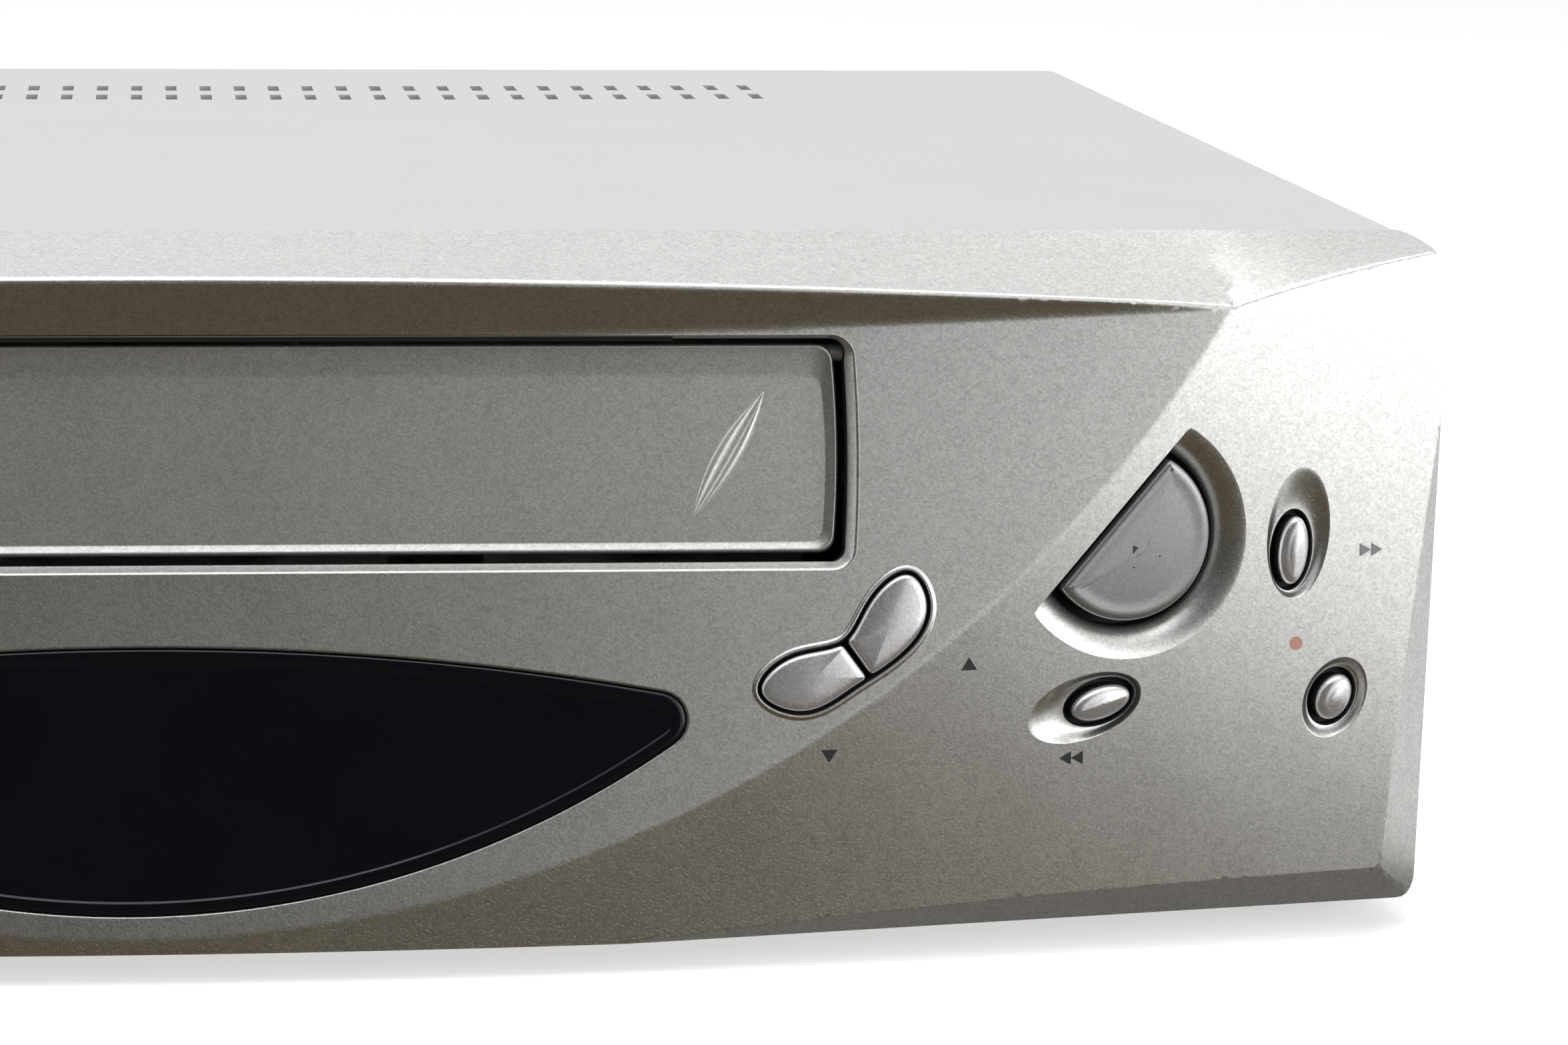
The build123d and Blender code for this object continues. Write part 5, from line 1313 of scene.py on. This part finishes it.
def key_shape(loop, profile, crown, flange, stem, stem_length, wall, placed, mirrored=False):
    """A key: its cap's rings, a crown that shrinks to the middle, its flange behind the wall and its stem."""
    shape = Shape()
    middle = loop.mean(axis=0)
    normal = outward(loop)
    rows = []
    back = -wall - FLANGE_CLEARANCE
    flange_back = back - FLANGE_THICKNESS
    angle = np.arctan2(*(loop - middle).T[::-1])
    around = np.stack([np.cos(angle), np.sin(angle)], axis=1)
    stem_ring = middle + np.asarray(stem) + around * STEM_RADIUS
    wide = loop + normal * flange
    rows += [placed(*stem_ring.T, flange_back - stem_length), placed(*stem_ring.T, flange_back)]
    rows += [placed(*wide.T, flange_back), placed(*wide.T, back), placed(*loop.T, back)]
    for inset, depth in profile:
        rows.append(placed(*(loop - normal * inset).T, depth))
    inner = loop - normal * profile[-1][0]
    for part in (0.9, 0.75, 0.55, 0.35, 0.15):
        rows.append(placed(*(middle + (inner - middle) * part).T, profile[-1][1] + crown * (1 - part**2)))
    made = np.stack(rows)
    if mirrored:
        made = flip_x(made)
    # stem, flange and hidden wall in the near-black moulding: partly painted shade that keeps the gap round
    # the cap black
    shape.grid(made[:6], flip=mirrored, tone=1)
    shape.grid(made[5:], flip=mirrored)
    shape.fan(made[-1], flip=mirrored)
    shape.fan(made[0], flip=not mirrored, tone=1)
    return shape


class RECORDER_OT_oval_keys(bpy.types.Operator):
    """Makes the six small domed keys"""
    bl_idname = "recorder.oval_keys"
    bl_label = "Oval keys"

    def execute(self, context):
        front, _, _, k = sizes(context)
        paint = finishes(context)
        for name, key in OVAL_KEYS.items():
            loop = oval_loop(*key["half"], 72)
            small = min(key["half"])
            profile = [(small * 0.62 * (1 - np.cos(a)), k.dome * np.sin(a) - 0.55)
                       for a in np.linspace(0, 1, 8) * pi / 2]
            for side, body in ((False, name), (True, TWINS[name])):
                placed = front.place(key["x"], key["u"], key["tilt"])
                shape = key_shape(loop, profile, 0.16, k.oval_gap + 1.4, (0, 0), 10.0, k.wall, placed, side)
                cap, node = body + "_key_cap", body + "_button"
                finish_piece(cap, shape.mesh(cap, sharp=55), node, "key_silver", paint, node)
        return {"FINISHED"}


class RECORDER_OT_play_keys(bpy.types.Operator):
    """Makes the two large D-shaped keys"""
    bl_idname = "recorder.play_keys"
    bl_label = "Large keys"

    def execute(self, context):
        front, _, _, k = sizes(context)
        loop = d_loop(k.play_radius, k.play_chord, play_heading(front, k), 0.7, 144)
        profile = [(0, -1.5), (0, -0.75), (0.1, -0.42), (0.3, -0.18), (0.55, -0.05), (0.9, 0.0), (1.4, 0.0),
                   (2.0, -0.06)]
        for side, body in ((False, "play_button"), (True, "stop_button")):
            placed = front.place(k.play_x, k.play_u)
            wall = k.wall + k.dish_depth
            shape = key_shape(loop, profile, 0.1, 1.9, (2.2, -2.2), 8.0, wall, placed, side)
            name = body.replace("button", "key_cap")
            finish_piece(name, shape.mesh(name, sharp=55), body, "key_grey", finishes(context), body)
        return {"FINISHED"}


def petal_loop(side):
    """One petal: the common opening pulled in, cut by the line across its waist, with softened corners."""
    opening = even_loop(smooth_loop(GAP_POINTS, 400), 400)
    opening = opening - outward(opening) * PETAL_GAP
    low, high = np.array(WAIST[1]), np.array(WAIST[0])
    across = (high - low) / np.linalg.norm(high - low)
    normal = np.array([across[1], -across[0]]) * side
    beyond = (opening - low) @ normal - WAIST_GAP / 2
    start = int(np.argmax((beyond > 0) & (np.roll(beyond, 1) <= 0)))
    turned, beyond = np.roll(opening, -start, axis=0), np.roll(beyond, -start)
    loop = even_loop(turned[beyond > 0], 480)
    return softened(loop, 9)[::4]


class RECORDER_OT_channel_keys(bpy.types.Operator):
    """Makes the two petal keys that share one opening"""
    bl_idname = "recorder.channel_keys"
    bl_label = "Channel keys"

    def execute(self, context):
        front, _, _, k = sizes(context)
        placed = front.on_face
        profile = [(0, -0.5), (0.02, -0.05), (0.1, 0.16), (0.25, 0.32), (0.45, 0.44), (0.7, 0.52)]
        for side, body in ((-1, "channel_down_key"), (1, "channel_up_key")):
            loop = petal_loop(side)
            shape = key_shape(loop, profile, 0.26, 0.02, (0, 0), 12.0, k.wall, placed)
            name = body.replace("_key", "_key_cap")
            finish_piece(name, shape.mesh(name, sharp=55), body, "key_silver", finishes(context), body)
        return {"FINISHED"}


# ---- printed marks ------------------------------------------------------------------------------------
MARKS = {"rewind": (126.9, 28.9), "fast_forward": (169.6, 57.0), "record": (158.9, 44.2),
         "channel_down": (93.1, 29.7), "channel_up": (112.3, 41.8)}


def mark(shape, outline, placed, high=0):
    """A flat printed mark: its outline filled a hair over the surface, with a thin edge."""
    outline = np.asarray(outline, float)
    top, low = placed(*outline.T, high + 0.02), placed(*outline.T, high - 0.05)
    shape.grid(np.stack([low, top]))
    shape.fan(top)
    shape.fan(low, flip=True)


def arrow(width, tall, x=0.0, y=0.0):
    """A triangle that points along its first axis."""
    return [(x - width / 2, y - tall / 2), (x + width / 2, y), (x - width / 2, y + tall / 2)]


def bar(width, tall, x=0.0, y=0.0):
    """A small upright rectangle."""
    left, right, low, high = x - width / 2, x + width / 2, y - tall / 2, y + tall / 2
    return [(left, low), (right, low), (right, high), (left, high)]


def stroke(shape, first, last, radius, thick, placed):
    """A curved stroke, filled as a strip between its two edges."""
    angle = np.radians(np.linspace(first, last, 40))
    ring = np.stack([np.cos(angle), np.sin(angle)], axis=1)
    rows = [placed(*(ring * (radius + part * thick / 2)).T, 0.02) for part in (1, -1)]
    shape.grid(np.stack(rows), closed=False)


class RECORDER_OT_marks(bpy.types.Operator):
    """Prints the plain transport symbols on the panel and the large keys"""
    bl_idname = "recorder.marks"
    bl_label = "Printed marks"

    def execute(self, context):
        front, _, _, k = sizes(context)
        paints = finishes(context)
        play, stop = arrow(4.2, 3.2, 2.6, -3.0), bar(3.0, 3.0, -2.6, -3.0)
        for side, body, outline in ((1, "play_button", play), (-1, "stop_button", stop)):
            shape = Shape()
            mark(shape, outline, front.place(side * k.play_x, k.play_u), 0.01)
            name = body.replace("button", "symbol")
            finish_piece(name, shape.mesh(name), body, "switch_black", paints["mark_dark"])
        dark, grey, red = Shape(), Shape(), Shape()
        right = {name: front.place(*place) for name, place in MARKS.items()}
        left = {name: front.place(-x, u) for name, (x, u) in MARKS.items()}
        self.pair(dark, right["rewind"], -1)
        self.pair(grey, right["fast_forward"], 1)
        mark(red, oval_loop(0.95, 0.95, 28), right["record"])
        mark(dark, [(-1.15, 0.8), (0, -1.0), (1.15, 0.8)], right["channel_down"])
        mark(dark, [(-1.15, -0.8), (1.15, -0.8), (0, 1.0)], right["channel_up"])
        # the left keys' symbols: pause, eject and power
        for x in (-0.8, 0.8):
            mark(grey, bar(0.7, 2.2, x), left["fast_forward"])
        mark(dark, [(-1.7, 0.0), (1.7, 0.0), (0, 1.8)], left["rewind"])
        mark(dark, bar(3.4, 0.7, 0, -0.85), left["rewind"])
        stroke(red, -235, 55, 1.15, 0.35, left["record"])
        mark(red, bar(0.35, 1.3, 0, 0.9), left["record"])
        for shape, tone in ((dark, "dark"), (grey, "grey"), (red, "red")):
            name = "marks_" + tone
            finish_piece(name, shape.mesh(name), "case", "switch_black", paints["mark_" + tone])
        return {"FINISHED"}

    def pair(self, shape, placed, way):
        """Two arrows in a row that point the same way."""
        for gap in (-0.85, 0.85):
            outline = arrow(1.7 * way, 1.9, gap)
            mark(shape, outline if way > 0 else outline[::-1], placed)


# ---- finishes of the carried-over parts ---------------------------------------------------------------
class RECORDER_OT_finishes(bpy.types.Operator):
    """Gives every carried-over part its material by its slot"""
    bl_idname = "recorder.finishes"
    bl_label = "Finishes"

    def execute(self, context):
        paints = finishes(context)
        for name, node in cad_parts.items():
            for place in node.material_slots:
                slot = place.material.name.split(".")[0]
                if slot not in paints:
                    raise RuntimeError("no finish for the slot " + slot + " of " + name)
                place.material = paints[slot]
        return {"FINISHED"}


# ---- stage --------------------------------------------------------------------------------------------
WHITE = (1, 1, 1, 1)
CAMERA_PLACE = (0.0017, SEAM_Y - 0.6344, 0.1756)
CAMERA_TURN = (radians(90 - 8.32), radians(-0.53), radians(-4.51))
WALL_CORNERS = [(-4.5, -1.9, -0.4), (0.46, -1.9, -0.4), (0.46, -1.9, 2.3), (-4.5, -1.9, 2.3)]
TABLE_CORNERS = [(-1.6, -1.6, 0.0005), (0.62, -1.6, 0.0005), (0.25, -0.146, 0.0005), (-1.6, -0.146, 0.0005)]
# grey card on the floor at the front's foot, seen only in reflections: painted shadow of the floor there
SHADE_SHEET_CORNERS = [(-0.3, -0.146, 0.0005), (0.25, -0.146, 0.0005), (0.2, -0.11, 0.0005), (-0.3, -0.11, 0.0005)]
SHADE_SHEET_TONE = (0.17, 0.16, 0.145)
FLOOR_HALF, FLOOR_Z = 30, -0.0001


def card(name, corners, tone):
    """A flat lit card of the studio that only reflections see."""
    mesh = bpy.data.meshes.new(name)
    mesh.from_pydata(corners, [], [(0, 1, 2, 3)])
    made = bpy.data.objects.new(name, mesh)
    bpy.context.scene.collection.objects.link(made)
    f = Finish(name)
    light = f.node("ShaderNodeEmission", {}, {"Color": (*tone, 1), "Strength": 1.0}, output="Emission")
    f.end("ShaderNodeOutputMaterial", light)
    mesh.materials.append(f.material)
    made.visible_camera = False
    made.visible_diffuse = False
    made.visible_shadow = False
    made.visible_transmission = False


def softbox(name, place, aim, size, power):
    """A rectangular area light at a place, turned towards a point."""
    light = bpy.data.lights.new(name, "AREA")
    light.shape, light.size, light.size_y, light.energy = "RECTANGLE", size[0], size[1], power
    made = bpy.data.objects.new(name, light)
    bpy.context.scene.collection.objects.link(made)
    made.location = place
    made.rotation_euler = (Vector(aim) - Vector(place)).to_track_quat("-Z", "Y").to_euler()


class RECORDER_OT_stage(bpy.types.Operator):
    """Sets the pale floor, the soft light and the camera"""
    bl_idname = "recorder.stage"
    bl_label = "Stage"

    def execute(self, context):
        g = context.scene.recorder_stage
        scene = context.scene
        scene.view_settings.view_transform = "Standard"
        world = bpy.data.worlds.new("studio")
        scene.world = world
        n = Nodes(world)
        camera_ray, glossy_ray, clear_ray = (n.node("ShaderNodeLightPath", output=f"Is {kind} Ray")
                                             for kind in ("Camera", "Glossy", "Transmission"))
        seen = n.node("ShaderNodeMath", {"operation": "MAXIMUM"}, {0: camera_ray, 1: glossy_ray})
        seen = n.node("ShaderNodeMath", {"operation": "MAXIMUM"}, {0: seen, 1: clear_ray})
        sky = n.node("ShaderNodeBackground", {}, {"Color": WHITE, "Strength": g.sky})
        white = n.node("ShaderNodeBackground", {}, {"Color": WHITE, "Strength": 1.0})
        n.end("ShaderNodeOutputWorld", n.node("ShaderNodeMixShader", {}, {0: seen, 1: sky, 2: white}))

        floor_mesh = bpy.data.meshes.new("floor")
        ends = ((-1, -1), (1, -1), (1, 1), (-1, 1))
        corners = [(FLOOR_HALF * x, FLOOR_HALF * y, FLOOR_Z) for x, y in ends]
        floor_mesh.from_pydata(corners, [], [(0, 1, 2, 3)])
        floor = bpy.data.objects.new("floor", floor_mesh)
        scene.collection.objects.link(floor)
        f = Finish("studio_floor")
        seen = f.node("ShaderNodeLightPath", output="Is Camera Ray")
        mirrored = f.node("ShaderNodeLightPath", output="Is Glossy Ray")
        lift = seen * 0.55 + mirrored * 0.1
        floor_mesh.materials.append(f.close(
            Base_Color=(0.93, 0.93, 0.93), Roughness=0.9, Specular_IOR_Level=0.1,
            Emission_Color=f.mix(lift, (0, 0, 0), (1, 1, 1)), Emission_Strength=1.0))

        card("studio_wall", WALL_CORNERS, g.wall)
        card("studio_table", TABLE_CORNERS, g.table)
        # painted shadow of the floor near the foot, for reflections only
        card("studio_sheet", SHADE_SHEET_CORNERS, SHADE_SHEET_TONE)
        softbox("softbox_top", (-0.1, -0.1, 1.3), (0, 0, 0), (1.6, 1.2), g.softbox)
        softbox("softbox_right", (1.15, -1.0, 0.42), (0.15, -0.14, 0.05), (1.05, 0.8), g.side)

        camera = bpy.data.cameras.new("camera")
        camera.lens, camera.shift_x, camera.shift_y = g.lens, g.shift_x, g.shift_y
        camera.sensor_width = 36.0
        camera.clip_start, camera.clip_end = 0.01, 100
        made = bpy.data.objects.new("camera", camera)
        scene.collection.objects.link(made)
        made.location = CAMERA_PLACE
        made.rotation_euler = CAMERA_TURN
        scene.camera = made
        return {"FINISHED"}


# ---- panel and registration ---------------------------------------------------------------------------
OPERATORS = (
    RECORDER_OT_stage, RECORDER_OT_finishes, RECORDER_OT_front_panel, RECORDER_OT_cassette_flap,
    RECORDER_OT_display_window, RECORDER_OT_oval_keys, RECORDER_OT_play_keys, RECORDER_OT_channel_keys,
    RECORDER_OT_marks,
)
GROUPS = {
    "recorder_front": RecorderFront, "recorder_flap": RecorderFlap, "recorder_window": RecorderWindow,
    "recorder_keys": RecorderKeys, "recorder_finish": RecorderFinish, "recorder_stage": RecorderStage,
}


class RECORDER_PT_sidebar(bpy.types.Panel):
    """Lists the recorder's pieces and their sizes"""
    bl_idname = "RECORDER_PT_sidebar"
    bl_label = "Video cassette recorder"
    bl_space_type = "VIEW_3D"
    bl_region_type = "UI"
    bl_category = "Recorder"

    def draw(self, context):
        layout = self.layout
        for operator in OPERATORS:
            layout.operator(operator.bl_idname)
        for name in GROUPS:
            group = getattr(context.scene, name)
            box = layout.box()
            for prop in group.bl_rna.properties.keys():
                if prop not in ("rna_type", "name"):
                    box.prop(group, prop)


def register():
    """Registers the property groups, operators and panel."""
    for name, group in GROUPS.items():
        bpy.utils.register_class(group)
        setattr(bpy.types.Scene, name, bpy.props.PointerProperty(type=group))
    for made in OPERATORS:
        bpy.utils.register_class(made)
    bpy.utils.register_class(RECORDER_PT_sidebar)


def unregister():
    """Takes everything off again."""
    bpy.utils.unregister_class(RECORDER_PT_sidebar)
    for made in reversed(OPERATORS):
        bpy.utils.unregister_class(made)
    for name, group in reversed(GROUPS.items()):
        delattr(bpy.types.Scene, name)
        bpy.utils.unregister_class(group)


def main():
    """Builds everything."""
    register()
    for operator in OPERATORS:
        group, name = operator.bl_idname.split(".")
        getattr(getattr(bpy.ops, group), name)()


if __name__ == "__main__":
    main()
